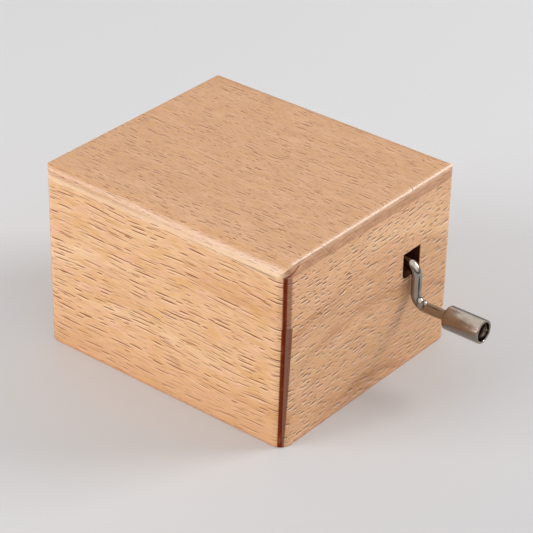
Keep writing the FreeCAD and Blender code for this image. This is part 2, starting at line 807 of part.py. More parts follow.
front_plug = new_body("front_plug_body", drum_x, drum_front, drum_z)
plug_depth = drum_to_wheel
plug_profile = outline(
    new_sketch(front_plug, "YZ_Plane", "plug_profile"),
    [
        (f"-{front_hub_length}", arbor_radius),
        (plug_depth, arbor_radius),
        (plug_depth, drum_bore),
        ("0", drum_bore),
        ("0", hub_radius),
        (f"-{front_hub_length}", hub_radius),
    ],
)
revolve(front_plug, "plug_turning", plug_profile)
node("front_plug", front_plug)

arbor_length = f"({post_rear} + {bed_margin} / 2 - {arbor_front})"
node("cylinder_arbor", rod("arbor_rod", "Y", (drum_x, arbor_front, drum_z), arbor_radius, arbor_length))

# The wheel's tooth gaps lean to match the worm's lead. Each gap is a loft from the rear face to the front
# face, and the wheel is turned back by half the lean, so that a gap stands straight up at mid-width.
lean_turn = f"({wheel_width} * {gear_module} / ({worm_pitch_diameter} * {wheel_radius}) * 180 / pi)"
gap_root_radius = f"({wheel_radius} - 1.25 * {gear_module})"
gap_top_radius = f"({wheel_tip_radius} + {gear_module} / 2)"
gap_middle_half = f"({gear_module} * pi / 4 + {wheel_backlash})"
gap_root_half = f"({gap_middle_half} - 1.25 * {gear_module} * tan({pressure_angle}))"
gap_top_half = f"({gap_middle_half} + 1.5 * {gear_module} * tan({pressure_angle}))"
wheel = new_body("worm_wheel_body", drum_x, shaft_y, drum_z)
wheel_disc = new_sketch(wheel, "XZ_Plane", "wheel_disc", f"-{wheel_width} / 2")
circle(wheel_disc, "0", "0", wheel_tip_radius)
pad(wheel, "wheel_blank", wheel_disc, wheel_width)
gap_corners = [
    (f"-{gap_root_half}", gap_root_radius),
    (gap_root_half, gap_root_radius),
    (gap_top_half, gap_top_radius),
    (f"-{gap_top_half}", gap_top_radius),
]
gap_rear = outline(new_sketch(wheel, "XZ_Plane", "gap_rear", f"-{wheel_width} / 2"), gap_corners)
gap_front = outline(new_sketch(wheel, "XZ_Plane", "gap_front", f"{wheel_width} / 2"), gap_corners)
gap_front.setExpression("AttachmentOffset.Rotation.Angle", f"{lean_turn}")
tooth_gap = wheel.newObject("PartDesign::SubtractiveLoft", "tooth_gap")
tooth_gap.Profile = gap_rear
tooth_gap.Sections = [gap_front]
tooth_gap.Ruled = True
doc.recompute()
teeth = wheel.newObject("PartDesign::PolarPattern", "teeth")
teeth.Originals = [tooth_gap]
teeth.Axis = (wheel_disc, ["N_Axis"])
teeth.Angle = 360
bind(teeth, Occurrences=wheel_teeth)
wheel.Tip = teeth
doc.recompute()
wheel_profile = outline(
    new_sketch(wheel, "YZ_Plane", "wheel_hubs"),
    [
        (f"({drum_rear} - {plug_depth} - {shaft_y})", "0"),
        (f"({wheel_rear} + {rear_hub_length} - {shaft_y})", "0"),
        (f"({wheel_rear} + {rear_hub_length} - {shaft_y})", hub_radius),
        (f"({wheel_front} - {shaft_y})", hub_radius),
        (f"({wheel_front} - {shaft_y})", f"({gap_root_radius} - {wheel_backlash})"),
        (f"({drum_rear} - {shaft_y})", f"({gap_root_radius} - {wheel_backlash})"),
        (f"({drum_rear} - {shaft_y})", drum_bore),
        (f"({drum_rear} - {plug_depth} - {shaft_y})", drum_bore),
    ],
)
revolve(wheel, "wheel_hub_turning", wheel_profile)
arbor_hole = circle(
    new_sketch(wheel, "XZ_Plane", "arbor_hole", f"-{wheel_width}"), "0", "0", arbor_radius
)
arbor_pocket = wheel.newObject("PartDesign::Pocket", "arbor_pocket")
arbor_pocket.Profile = arbor_hole
arbor_pocket.Reversed = True
bind(arbor_pocket, Length=f"4 * {wheel_width}")
doc.recompute()
wheel.Placement = FreeCAD.Placement(wheel.Placement.Base, FreeCAD.Rotation(FreeCAD.Vector(0, 1, 0), 1))
wheel.setExpression("Placement.Rotation.Angle", f"{lean_turn} / 2")
node("worm_wheel", wheel)


# ---------------------------------------------------------------------------------------------------------
# Crank: worm, bent wire with its peened end, and the loose knob
# ---------------------------------------------------------------------------------------------------------

hub_reach = f"({well_half} - {end_play})"
thread_reach = f"(({thread_turns} + 1) * {worm_pitch} / 2)"
thread_root_half = f"({gear_module} * pi / 4 - {worm_backlash} + 1.2 * {gear_module} * tan({pressure_angle}))"
thread_crest_half = f"({gear_module} * pi / 4 - {worm_backlash} - {gear_module} * tan({pressure_angle}))"


def threaded_core(facets):
    """Threaded length of the worm about the X axis, with the given number of flat facets in each turn.

    A section through the thread has four corners: left foot, left crest, right crest and right foot. The
    middle of the thread's length is straight below the axis, over the wheel.
    """
    pitch = value(worm_pitch)
    core = value(worm_core_radius)
    crest = value(worm_radius) + value(gear_module)
    foot_half = value(thread_root_half)
    crest_half = value(thread_crest_half)
    steps = round(value(thread_turns) * facets)

    def spot(step, x, radius):
        turn = 2 * math.pi * (step - steps / 2) / facets - math.pi / 2
        return FreeCAD.Vector(x, radius * math.cos(turn), radius * math.sin(turn))

    sections = []
    for step in range(steps + 1):
        middle = pitch * (step - steps / 2) / facets
        corners = ((-foot_half, core), (-crest_half, crest), (crest_half, crest), (foot_half, core))
        sections.append([spot(step, middle + across, radius) for across, radius in corners])
    last_turn = steps - facets
    left_end = [spot(step, -value(thread_reach), core) for step in range(facets)]
    right_end = [spot(last_turn + step, value(thread_reach), core) for step in range(facets)]

    outlines = [sections[0], sections[steps], left_end, right_end]
    for step in range(steps):
        here, ahead = sections[step], sections[step + 1]
        outlines.append([here[1], here[2], ahead[2], ahead[1]])
        for foot, top in ((0, 1), (3, 2)):
            outlines.append([here[foot], here[top], ahead[top]])
            outlines.append([here[foot], ahead[top], ahead[foot]])
        # Core to the left of the first turn, where the last facet also meets the square start of the thread
        if step < facets:
            start = [sections[0][3], sections[0][0]] if step == facets - 1 else []
            outlines.append([left_end[step], here[0], ahead[0], *start, left_end[(step + 1) % facets]])
        # Core up to the next turn, or right of the last turn, where the first facet meets the square end
        if step < last_turn:
            outlines.append([here[3], sections[step + facets][0], sections[step + facets + 1][0], ahead[3]])
        else:
            end = [sections[steps][0], sections[steps][3]] if step == last_turn else []
            side = step - last_turn
            outlines.append([here[3], *end, right_end[side], right_end[(side + 1) % facets], ahead[3]])
    skin = Part.makeShell([Part.Face(Part.makePolygon([*corners, corners[0]])) for corners in outlines])
    skin.sewShape()
    return Part.makeSolid(skin)


thread = doc.addObject("Part::Feature", "thread")
thread.Shape = threaded_core(thread_facets)
place(thread, drum_x, shaft_y, shaft_z)
hub_length = f"({hub_reach} - {thread_reach})"
worm_blank = fuse(
    "worm_blank",
    thread,
    rod("left_worm_hub", "X", (f"({drum_x} - {hub_reach})", shaft_y, shaft_z), worm_radius, hub_length),
    rod("right_worm_hub", "X", (f"({drum_x} + {thread_reach})", shaft_y, shaft_z), worm_radius, hub_length),
)
bore_start = (f"({drum_x} - {well_half})", shaft_y, shaft_z)
worm_bore = rod("worm_bore", "X", bore_start, shaft_radius, f"2 * {well_half}")
node("worm", cut("worm_cut", worm_blank, worm_bore))

# The wire runs along X in the cradles, turns down beside the case and out again to the knob
arm_x = f"({arm_gap} + {shaft_radius})"
shaft_start = f"({drum_x} - {cradle_outer} - {bed_margin} - {half_width})"
head_start = f"({knob_standoff} + {knob_length} - {knob_recess_depth} + {end_play})"
wire_end = f"({head_start} + {peened_head_thickness})"
crank = new_body("crank_wire_body", half_width, shaft_y, shaft_z)
wire_path = new_sketch(crank, "XZ_Plane", "wire_path")
bend_points = [
    (shaft_start, "0"),
    (f"({arm_x} - {bend_radius})", "0"),
    (arm_x, f"-{bend_radius}"),
    (arm_x, f"({bend_radius} - {crank_throw})"),
    (f"({arm_x} + {bend_radius})", f"-{crank_throw}"),
    (wire_end, f"-{crank_throw}"),
]
bend_spots = [FreeCAD.Vector(value(x), value(y), 0) for x, y in bend_points]
radius = value(bend_radius)
up = FreeCAD.Vector(0, 0, 1)
upper_centre = bend_spots[1] - FreeCAD.Vector(0, radius, 0)
lower_centre = bend_spots[4] + FreeCAD.Vector(0, radius, 0)
for first in (0, 2, 4):
    wire_path.addGeometry(Part.LineSegment(bend_spots[first], bend_spots[first + 1]), False)
wire_path.addGeometry(Part.ArcOfCircle(Part.Circle(upper_centre, up, radius), 0, math.pi / 2), False)
wire_path.addGeometry(Part.ArcOfCircle(Part.Circle(lower_centre, up, radius), math.pi, 1.5 * math.pi), False)
for line in range(3):
    for end in (1, 2):
        pin_point(wire_path, line, end, *bend_points[2 * line + end - 1])
for arc, meets in ((3, ((1, 1, 1), (2, 0, 2))), (4, ((1, 1, 2), (2, 2, 1)))):
    for arc_end, line, line_end in meets:
        wire_path.addConstraint(Sketcher.Constraint("Coincident", arc, arc_end, line, line_end))
    number = wire_path.addConstraint(Sketcher.Constraint("Radius", arc, radius))
    wire_path.setExpression(f"Constraints[{number}]", bend_radius)
wire_section = circle(new_sketch(crank, "YZ_Plane", "wire_section", shaft_start), "0", "0", shaft_radius)
doc.recompute()
wire = crank.newObject("PartDesign::AdditivePipe", "wire")
wire.Profile = wire_section
wire.Spine = (wire_path, [f"Edge{i + 1}" for i in range(5)])
wire.Transition = "Round corner"
doc.recompute()

peen = new_sketch(crank, "YZ_Plane", "peened_head", head_start)
circle(peen, "0", f"-{crank_throw}", peened_head_radius)
peen_pad = pad(crank, "peened_head_pad", peen, peened_head_thickness)
rim_edges = []
for number, edge in enumerate(peen_pad.Shape.Edges, 1):
    if all(vertex.Point.x > value(wire_end) - 1e-6 for vertex in edge.Vertexes):
        rim_edges.append(f"Edge{number}")
peen_bevel = crank.newObject("PartDesign::Chamfer", "peened_head_bevel")
peen_bevel.Base = (peen_pad, rim_edges)
bind(peen_bevel, Size=f"{peened_head_thickness} / 2")
doc.recompute()
# The pinched ears that keep the knob from sliding inward end where the lower bend ends
ear_start = f"({arm_x} + {bend_radius} - {ear_thickness})"
ears = rectangle(
    new_sketch(crank, "YZ_Plane", "ears", ear_start),
    (f"-{ear_thickness} / 2", f"{ear_thickness} / 2"),
    (f"-{crank_throw} - {ear_span} / 2", f"-{crank_throw} + {ear_span} / 2"),
)
pad(crank, "ear_pad", ears, ear_thickness)
node("crank_wire", crank)

knob = new_body("knob_body", f"{half_width} + {knob_standoff}", shaft_y, f"{shaft_z} - {crank_throw}")
knob_radius = f"({knob_diameter} / 2)"
knob_bore = f"({shaft_radius} + {running_clearance})"
recess_floor = f"({knob_length} - {knob_recess_depth})"
# The edge next to the case is rounded in a few flat steps
knob_edge = []
for i in range(knob_edge_facets + 1):
    lean = f"(90 deg * {i} / {knob_edge_facets})"
    x = f"({knob_edge_radius} * (1 - sin({lean})))"
    knob_edge.append((x, f"({knob_radius} - {knob_edge_radius} * (1 - cos({lean})))"))
knob_profile = outline(
    new_sketch(knob, "XZ_Plane", "knob_profile"),
    [
        ("0", knob_bore),
        (recess_floor, knob_bore),
        (recess_floor, knob_recess_radius),
        (knob_length, knob_recess_radius),
        (knob_length, knob_radius),
        *knob_edge,
    ],
)
revolve(knob, "knob_turning", knob_profile)
node("crank_knob", knob)


# ---------------------------------------------------------------------------------------------------------
# Check every object and write one file for each sub-part
# ---------------------------------------------------------------------------------------------------------

doc.recompute()
for thing in doc.Objects:
    if "Invalid" in thing.State or "Error" in thing.State:
        raise RuntimeError(f"{thing.Name} did not build: {thing.State}")
for thing in parts:
    if thing.Shape.isNull() or not thing.Shape.isValid() or not thing.Shape.Solids:
        raise RuntimeError(f"{thing.Label} has no valid solid")

os.makedirs("parts", exist_ok=True)
for thing in parts:
    thing.Shape.exportStep(f"parts/{thing.Label}.step")
    box = thing.Shape.BoundBox
    print(f"{thing.Label}: {len(thing.Shape.Solids)} solids, {thing.Shape.Volume:.1f} mm3, "
          f"{box.XMin:.2f}..{box.XMax:.2f} {box.YMin:.2f}..{box.YMax:.2f} {box.ZMin:.2f}..{box.ZMax:.2f}")
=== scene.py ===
"""Looks of a hand-cranked music box: a sanded beech case, a nickel crank and the movement inside it.

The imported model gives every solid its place. This script dresses them: boards with a beech grain that runs on
over the seam of the lid, a smoothly bent crank, turned metal parts and the small screws.
"""

import json
import logging
import math
from collections.abc import Callable
from dataclasses import dataclass, replace
from enum import Enum, IntEnum

import bmesh
import bpy
from mathutils import Matrix, Quaternion, Vector

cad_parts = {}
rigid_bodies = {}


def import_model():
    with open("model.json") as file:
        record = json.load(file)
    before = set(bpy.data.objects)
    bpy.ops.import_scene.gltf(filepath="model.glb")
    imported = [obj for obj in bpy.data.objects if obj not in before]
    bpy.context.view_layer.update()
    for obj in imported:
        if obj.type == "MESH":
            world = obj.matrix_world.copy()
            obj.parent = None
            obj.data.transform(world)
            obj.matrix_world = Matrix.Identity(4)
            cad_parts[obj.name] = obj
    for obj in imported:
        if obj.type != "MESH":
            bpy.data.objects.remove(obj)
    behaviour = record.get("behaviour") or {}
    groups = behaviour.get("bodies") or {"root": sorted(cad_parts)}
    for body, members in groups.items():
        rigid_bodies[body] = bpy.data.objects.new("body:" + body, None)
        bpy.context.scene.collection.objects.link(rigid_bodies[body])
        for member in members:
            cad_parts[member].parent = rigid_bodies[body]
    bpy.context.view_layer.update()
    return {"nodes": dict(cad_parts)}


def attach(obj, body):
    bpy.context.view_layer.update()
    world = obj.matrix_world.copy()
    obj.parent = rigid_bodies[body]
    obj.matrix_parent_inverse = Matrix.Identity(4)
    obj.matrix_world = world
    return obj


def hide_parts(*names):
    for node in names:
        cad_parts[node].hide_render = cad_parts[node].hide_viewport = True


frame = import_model()

logging.basicConfig(level=logging.INFO, format="%(message)s")
log = logging.getLogger("music_box")

MM = 0.001
Triple = tuple[float, float, float]
Color = Triple
Socket = bpy.types.NodeSocket


def srgb(red: int, green: int, blue: int) -> Color:
    """Turn a colour written in 0 to 255 screen values into the linear values that shaders take.

    Args:
        red: Red, 0 to 255.
        green: Green, 0 to 255.
        blue: Blue, 0 to 255.

    Returns:
        The linear colour.
    """

    def linear(level: int) -> float:
        """Linear value of one channel."""
        share = level / 255
        return share / 12.92 if share <= 0.04045 else ((share + 0.055) / 1.055) ** 2.4

    return linear(red), linear(green), linear(blue)


# ----------------------------------------------------------------------------------------
# Finishes
# ----------------------------------------------------------------------------------------


@dataclass(frozen=True)
class Pattern:
    """Soft cloudy pattern that a finish takes its unevenness from.

    Attributes:
        waves: Waves in a millimetre, along each axis.
        layers: Number of finer layers over the coarse one.
        fineness: Share of the finer layers.
    """

    waves: Triple
    layers: float = 2.0
    fineness: float = 0.5


class Graph:
    """A material's node tree, with short calls for the nodes that the finishes use."""

    def __init__(self, name: str) -> None:
        """Start an empty material.

        Args:
            name: Name of the material.
        """
        self.material = bpy.data.materials.new(name)
        self.material.use_nodes = True
        self.tree = self.material.node_tree
        self.shader = self.tree.nodes["Principled BSDF"]

    def node(self, kind: str, **settings: object) -> bpy.types.Node:
        """Add a node and set its properties.

        Args:
            kind: Node type, without the ShaderNode prefix.
            **settings: Properties of the node.

        Returns:
            The new node.
        """
        made = self.tree.nodes.new(f"ShaderNode{kind}")
        for name, setting in settings.items():
            setattr(made, name, setting)
        return made

    def feed(self, socket: Socket, source: object) -> None:
        """Link a socket to another, or give it a fixed value.

        Args:
            socket: Socket to fill.
            source: Socket that feeds it, or its value.
        """
        if isinstance(source, bpy.types.NodeSocket):
            self.tree.links.new(source, socket)
        elif socket.type == "RGBA" and len(source) == 3:
            socket.default_value = (*source, 1.0)
        else:
            socket.default_value = source

    def give(self, name: str, source: object) -> None:
        """Feed one of the shader's own sockets."""
        self.feed(self.shader.inputs[name], source)

    def math(self, operation: str, first: object, second: object = 0.0, clamp: bool = False) -> Socket:
        """Do arithmetic on one or two values.

        Args:
            operation: Name of the operation.
            first: First value.
            second: Second value, where the operation takes one.
            clamp: Whether the result is kept from 0 to 1.

        Returns:
            The result.
        """
        made = self.node("Math", operation=operation, use_clamp=clamp)
        self.feed(made.inputs[0], first)
        self.feed(made.inputs[1], second)
        return made.outputs[0]

    def plus(self, first: object, second: object) -> Socket:
        """Sum of two values."""
        return self.math("ADD", first, second)

    def minus(self, first: object, second: object) -> Socket:
        """First value less the second."""
        return self.math("SUBTRACT", first, second)

    def times(self, first: object, second: object) -> Socket:
        """Product of two values."""
        return self.math("MULTIPLY", first, second)

    def vector(self, operation: str, first: object, second: object) -> Socket:
        """Do arithmetic on two vectors.

        Args:
            operation: Name of the operation.
            first: First vector.
            second: Second vector.

        Returns:
            The resulting vector.
        """
        made = self.node("VectorMath", operation=operation)
        self.feed(made.inputs[0], first)
        self.feed(made.inputs[1], second)
        return made.outputs[0]

    def split(self, vector: Socket) -> tuple[Socket, Socket, Socket]:
        """Take a vector apart.

        Args:
            vector: The vector.

        Returns:
            Its three parts.
        """
        made = self.node("SeparateXYZ")
        self.feed(made.inputs[0], vector)
        return made.outputs[0], made.outputs[1], made.outputs[2]

    def join(self, x: object, y: object, z: object) -> Socket:
        """Put a vector together.

        Args:
            x: First part.
            y: Second part.
            z: Third part.

        Returns:
            The vector.
        """
        made = self.node("CombineXYZ")
        for socket, source in zip(made.inputs, (x, y, z)):
            self.feed(socket, source)
        return made.outputs[0]

    def point_mm(self) -> Socket:
        """Find the place on the piece.

        Returns:
            The place, in millimetres.
        """
        place = self.node("TexCoord").outputs["Object"]
        scaled = self.node("VectorMath", operation="SCALE")
        self.feed(scaled.inputs[0], place)
        scaled.inputs["Scale"].default_value = 1 / MM
        return scaled.outputs[0]

    def noise(self, point: Socket, pattern: Pattern) -> Socket:
        """Read a soft pattern.

        Args:
            point: Where it is read, in millimetres.
            pattern: The pattern.

        Returns:
            Its value, from 0 to 1.
        """
        made = self.node("TexNoise")
        self.feed(made.inputs["Vector"], self.vector("MULTIPLY", point, pattern.waves))
        made.inputs["Scale"].default_value = 1.0
        made.inputs["Detail"].default_value = pattern.layers
        made.inputs["Roughness"].default_value = pattern.fineness
        return made.outputs["Fac"]

    def smooth(self, value: object, low: object, high: object) -> Socket:
        """Make a soft step.

        Args:
            value: Value that the step depends on.
            low: Where the step is 0.
            high: Where it is 1.

        Returns:
            The step, from 0 to 1.
        """
        made = self.node("MapRange", interpolation_type="SMOOTHSTEP")
        self.feed(made.inputs["Value"], value)
        self.feed(made.inputs["From Min"], low)
        self.feed(made.inputs["From Max"], high)
        return made.outputs["Result"]

    def ramp(self, value: Socket, stops: tuple[tuple[float, Color], ...]) -> Socket:
        """Run through a row of colours.

        Args:
            value: Value from 0 to 1.
            stops: Values with the colour that each one has.

        Returns:
            The colour.
        """
        made = self.node("ValToRGB")
        elements = made.color_ramp.elements
        for _ in stops[2:]:
            elements.new(0.5)
        for element, (position, color) in zip(elements, stops):
            element.position = position
            element.color = (*color, 1.0)
        self.feed(made.inputs["Fac"], value)
        return made.outputs["Color"]

    def mix(self, share: object, first: object, second: object, blend: str = "MIX") -> Socket:
        """Mix two colours.

        Args:
            share: Share of the second colour.
            first: First colour.
            second: Second colour.
            blend: Name of the way of mixing.

        Returns:
            The mixed colour.
        """
        share_slot, first_slot, second_slot, mixed_slot = 0, 6, 7, 2
        made = self.node("Mix", data_type="RGBA", blend_type=blend)
        self.feed(made.inputs[share_slot], share)
        self.feed(made.inputs[first_slot], first)
        self.feed(made.inputs[second_slot], second)
        return made.outputs[mixed_slot]

    def bump(self, height: Socket, depth_mm: float, below: Socket | None = None) -> Socket:
        """Raise the surface by a height map.

        Args:
            height: Height from 0 to 1.
            depth_mm: What a height of 1 stands for, in millimetres.
            below: Normal of a coarser bump that this one lies on.

        Returns:
            The bent normal.
        """
        made = self.node("Bump")
        made.inputs["Strength"].default_value = 1.0
        made.inputs["Distance"].default_value = depth_mm * MM
        self.feed(made.inputs["Height"], height)
        if below is not None:
            self.feed(made.inputs["Normal"], below)
        return made.outputs["Normal"]


class Axis(IntEnum):
    """Axes of the case: across its width, from front to back, and up."""

    X = 0
    Y = 1
    Z = 2


class Cut(Enum):
    """How a board is cut: the axes that its fibres, its width and its growth rings run along."""

    FRONT = (Axis.X, Axis.Z, Axis.Y)
    SIDE = (Axis.Y, Axis.Z, Axis.X)
    FLAT = (Axis.X, Axis.Y, Axis.Z)


# Patterns of the wood, from the broadest to the finest
WANDER = Pattern((0.035, 0.05, 0.05), 1.0)
BANDS = Pattern((0.012, 0.11, 0.06), 2.0, 0.55)
BLOTCHES = Pattern((0.05, 0.16, 0.1), 3.0, 0.6)
PATCHES = Pattern((0.14, 0.42, 0.3))
STRIP_BREAKUP = Pattern((0.8, 0.8, 0.45))
WAX = Pattern((0.6, 2.4, 2.4))
END_THREADS = Pattern((0.5, 0.3, 2.6), 3.0, 0.6)
THREADS = Pattern((0.22, 5.5, 5.5), 3.0, 0.6)
SANDING = Pattern((4.2, 4.2, 4.2), 2.0, 0.7)

# Patterns of the metals and the nylon
TARNISH = Pattern((0.35, 0.35, 0.35), 3.0, 0.6)
MOTTLE = Pattern((0.5, 0.5, 0.5), 3.0, 0.55)
SKIN = Pattern((6.0, 6.0, 6.0))

# Colours that every beech board shares
OCHRE_PATCH = srgb(224, 172, 104)
PINK_PATCH = srgb(238, 188, 158)
THREAD_SHADE = srgb(196, 168, 142)
# Painted highlight beside each fleck
FLECK_GLEAM = srgb(255, 232, 202)
END_DARK = srgb(158, 102, 68)
END_PALE = srgb(208, 156, 114)
WHITE = (1.0, 1.0, 1.0)


@dataclass(frozen=True)
class TintStrip:
    """Strip of changed colour between two planes across one axis: some are burnish from sanding and polish,
    some painted shade, some painted highlight.

    Attributes:
        axis: Axis that the strip lies across.
        start_mm: Where it starts, at the foot of the case.
        end_mm: Where it ends there.
        soft_mm: How soft its borders are.
        color: Its colour.
        strength: How much it covers.
        lean: How far the strip moves along the axis for each millimetre of height.
        within: Further spans that hold the strip, each as axis, start and end.
        matt: How much of the wax's shine it takes away.
    """

    axis: Axis
    start_mm: float
    end_mm: float
    soft_mm: float
    color: Color
    strength: float
    lean: float = 0.0
    within: tuple[tuple[Axis, float, float], ...] = ()
    matt: float = 0.0

    def share(self, graph: Graph, place: Socket) -> Socket:
        """Find how much of the strip's colour lies on the wood.

        Args:
            graph: Material being built.
            place: Place on the piece, in millimetres.

        Returns:
            The share, from 0 to 1.
        """
        breakup_share = 0.15
        axes = list(graph.split(place))
        if self.lean:
            axes[self.axis] = graph.minus(axes[self.axis], graph.times(axes[Axis.Z], self.lean))
        patchy = graph.times(graph.smooth(graph.noise(place, STRIP_BREAKUP), 0.2, 0.5), breakup_share)
        covered = graph.times(graph.plus(patchy, 1 - breakup_share), self.strength)
        for axis, start, end in ((self.axis, self.start_mm, self.end_mm), *self.within):
            rise = graph.smooth(axes[axis], start - self.soft_mm, start + self.soft_mm)
            fall = graph.smooth(axes[axis], end + self.soft_mm, end - self.soft_mm)
            covered = graph.times(covered, graph.times(rise, fall))
        return covered


@dataclass(frozen=True)
class BeechFinish:
    """Sanded beech: straight pinkish-tan wood with many short dark ray flecks, under a thin matt wax.

    Attributes:
        name: Name of the material.
        cut: How the board is cut.
        slope_deg: Tilt of the fibres to the board's long edges.
        fleck_mm: Room that each fleck has along the fibres, across them and into the wood.
        fleck_depth: How much darker a fleck is than the wood.
        gleam: Strength of the painted highlight along the lower side of a fleck.
        light: Colour of the palest bands.
        body: Main colour.
        deep: Colour of the warmest bands.
        arch_mm: Height of the arched figure over the board's length, 0 for straight bands.
        shift_mm: Place in the log that the board is cut from.
        fold_mm: Height from which the figure of the top is folded down over the front and back, 0 for none.
        roughness: Roughness of the wax where it is smoothest.
        gloss: Strength of the wax's shine.
        patchiness: How strongly ochre and pink patches show.
        relief_mm: Depth of the fibres and flecks in the sanded surface.
        fleck_color: Colour of the flecks.
        tint_strips: Strips of changed colour: burnish from sanding and polish, painted shade and painted
            highlight.
    """

    name: str
    cut: Cut
    slope_deg: float
    fleck_mm: Triple
    fleck_depth: float
    gleam: float
    light: Color
    body: Color
    deep: Color
    arch_mm: float = 0.0
    shift_mm: Triple = (0.0, 0.0, 0.0)
    fold_mm: float = 0.0
    roughness: float = 0.36
    gloss: float = 0.36
    patchiness: float = 0.45
    relief_mm: float = 0.026
    fleck_color: Color = srgb(136, 70, 22)
    tint_strips: tuple[TintStrip, ...] = ()

    def fibres(self, graph: Graph, place: Socket, in_log: Socket) -> tuple[Socket, Socket, Socket, Socket]:
        """Find where a place lies among the fibres, which run at a slope and wander a little.

        Args:
            graph: Material being built.
            place: Place on the piece, in millimetres.
            in_log: The same place in the log.

        Returns:
            Place along the board, along the fibres, across them and into the wood, in millimetres.
        """
        wander_mm = 3.0
        axes = graph.split(in_log)
        length, width, depth = (axes[axis] for axis in self.cut.value)
        if self.fold_mm > 0:
            _, side, height = graph.split(place)
            fold = graph.times(graph.minus(self.fold_mm, height), graph.math("SIGN", side))
            width, depth = graph.plus(width, fold), graph.times(depth, 0.0)
        slope = math.radians(self.slope_deg)
        cosine, sine = math.cos(slope), math.sin(slope)
        along = graph.plus(graph.times(length, cosine), graph.times(width, sine))
        across = graph.minus(graph.times(width, cosine), graph.times(length, sine))
        wander = graph.noise(graph.join(along, across, depth), WANDER)
        across = graph.plus(across, graph.times(graph.minus(wander, 0.5), wander_mm))
        return length, along, across, depth

    def figure(self, graph: Graph, fibre: Socket, arched: Socket) -> Socket:
        """Colour the broad growth bands, the blotches, and the ochre and pink patches.

        Args:
            graph: Material being built.
            fibre: Place in fibre axes, in millimetres.
            arched: The same place, moved by the arch that the bands follow.

        Returns:
            The colour.
        """
        ochre_shift, pink_shift = 31.0, 67.0
        stops = ((0.30, self.deep), (0.44, self.body), (0.56, self.body), (0.70, self.light))
        tone = graph.ramp(graph.noise(arched, BANDS), stops)
        blotches = graph.smooth(graph.noise(fibre, BLOTCHES), 0.5, 0.85)
        tone = graph.mix(blotches, tone, graph.mix(0.5, self.body, self.deep))
        for shift, tint in ((ochre_shift, OCHRE_PATCH), (pink_shift, PINK_PATCH)):
            shifted = graph.vector("ADD", fibre, (shift, shift, 0.0))
            patch = graph.smooth(graph.noise(shifted, PATCHES), 0.48, 0.66)
            tone = graph.mix(graph.times(patch, self.patchiness), tone, tint)
        return tone

    def dashes(self, graph: Graph, point: Socket, room: Triple, reach: float) -> tuple[Socket, Socket]:
        """Draw short dashes along the fibres, one for each cell of a stretched cell pattern.

        Args:
            graph: Material being built.
            point: Place in fibre axes, in millimetres.
            room: Size of a cell along the fibres, across them and into the wood.
            reach: Half length of the longest dash, as a share of the cell.

        Returns:
            How strongly a dash shows, from 0 to 1, and the same for the painted highlight along its lower side.
        """
        half_width, depth_squeeze, gleam_shift = 0.15, 0.18, 0.27
        shortest, bluntness = 0.25, 3.0
        stretched = graph.vector("DIVIDE", point, room)
        cells = graph.node("TexVoronoi", voronoi_dimensions="3D", feature="F1")
        graph.feed(cells.inputs["Vector"], stretched)
        cells.inputs["Scale"].default_value = 1.0
        along, across, deep = graph.split(graph.vector("SUBTRACT", stretched, cells.outputs["Position"]))
        chance, weight, _ = graph.split(cells.outputs["Color"])
        half_length = graph.times(graph.plus(chance, shortest), reach)
        length_share = graph.math("DIVIDE", graph.math("ABSOLUTE", along), half_length)
        length_share = graph.math("POWER", length_share, bluntness)
        depth_share = graph.math("POWER", graph.times(deep, depth_squeeze / half_width), 2.0)
        base_share = graph.plus(length_share, depth_share)
        strength = graph.smooth(weight, 0.05, 0.75)
        shown = []
        for shift in (0.0, gleam_shift):
            aside = graph.math("DIVIDE", graph.plus(across, shift), half_width)
            reached = graph.plus(base_share, graph.math("POWER", aside, 2.0))
            shown.append(graph.times(graph.smooth(reached, 1.3, 0.3), strength))
        return shown[0], shown[1]

    def flecks(self, graph: Graph, fibre: Socket, edge_on: Socket) -> tuple[Socket, Socket]:
        """Lay large and small ray flecks over the wood.

        A board's narrow edges cut across the flecks and show few of them.

        Args:
            graph: Material being built.
            fibre: Place in fibre axes, in millimetres.
            edge_on: How far the surface faces along the board's width.

        Returns:
            How strongly the flecks show, from 0 to 1, and the same for their painted highlights.
        """
        large_reach, small_reach, shown_on_edges = 0.42, 0.36, 0.12
        small_size, small_weight, small_shift = 0.66, 0.7, (17.3, 5.1, 3.7)
        large, large_gleam = self.dashes(graph, fibre, self.fleck_mm, large_reach)
        small_room = tuple(small_size * size for size in self.fleck_mm)
        shifted = graph.vector("ADD", fibre, small_shift)
        small, small_gleam = self.dashes(graph, shifted, small_room, small_reach)
        fleck = graph.math("MAXIMUM", large, graph.times(small, small_weight))
        gleam = graph.math("MAXIMUM", large_gleam, graph.times(small_gleam, small_weight))
        if self.fold_mm == 0:
            on_face = graph.smooth(graph.math("ABSOLUTE", edge_on), 0.9, 0.6)
            shown = graph.plus(graph.times(on_face, 1 - shown_on_edges), shown_on_edges)
            fleck, gleam = graph.times(fleck, shown), graph.times(gleam, shown)
        return fleck, gleam

    def end_grain(self, graph: Graph, in_log: Socket) -> Socket:
        """Colour the sawn ends, which drink more wax.

        Args:
            graph: Material being built.
            in_log: Place in the log, in millimetres.

        Returns:
            The colour.
        """
        axes = graph.split(in_log)
        rings = graph.join(axes[self.cut.value[0]], axes[Axis.Y], axes[Axis.Z])
        return graph.ramp(graph.noise(rings, END_THREADS), ((0.34, END_DARK), (0.62, END_PALE)))

    def build(self) -> bpy.types.Material:
        """Build the material.

        Returns:
            The material.
        """
        arch_span_mm, end_wax, fibre_depth, fleck_pore = 30.0, 0.8, 0.5, 0.5
        wax_spread, sanding_mm = 0.18, 0.012
        graph = Graph(self.name)
        place = graph.point_mm()
        in_log = graph.vector("ADD", place, self.shift_mm)
        length, along, across, depth = self.fibres(graph, place, in_log)
        fibre = graph.join(along, across, depth)

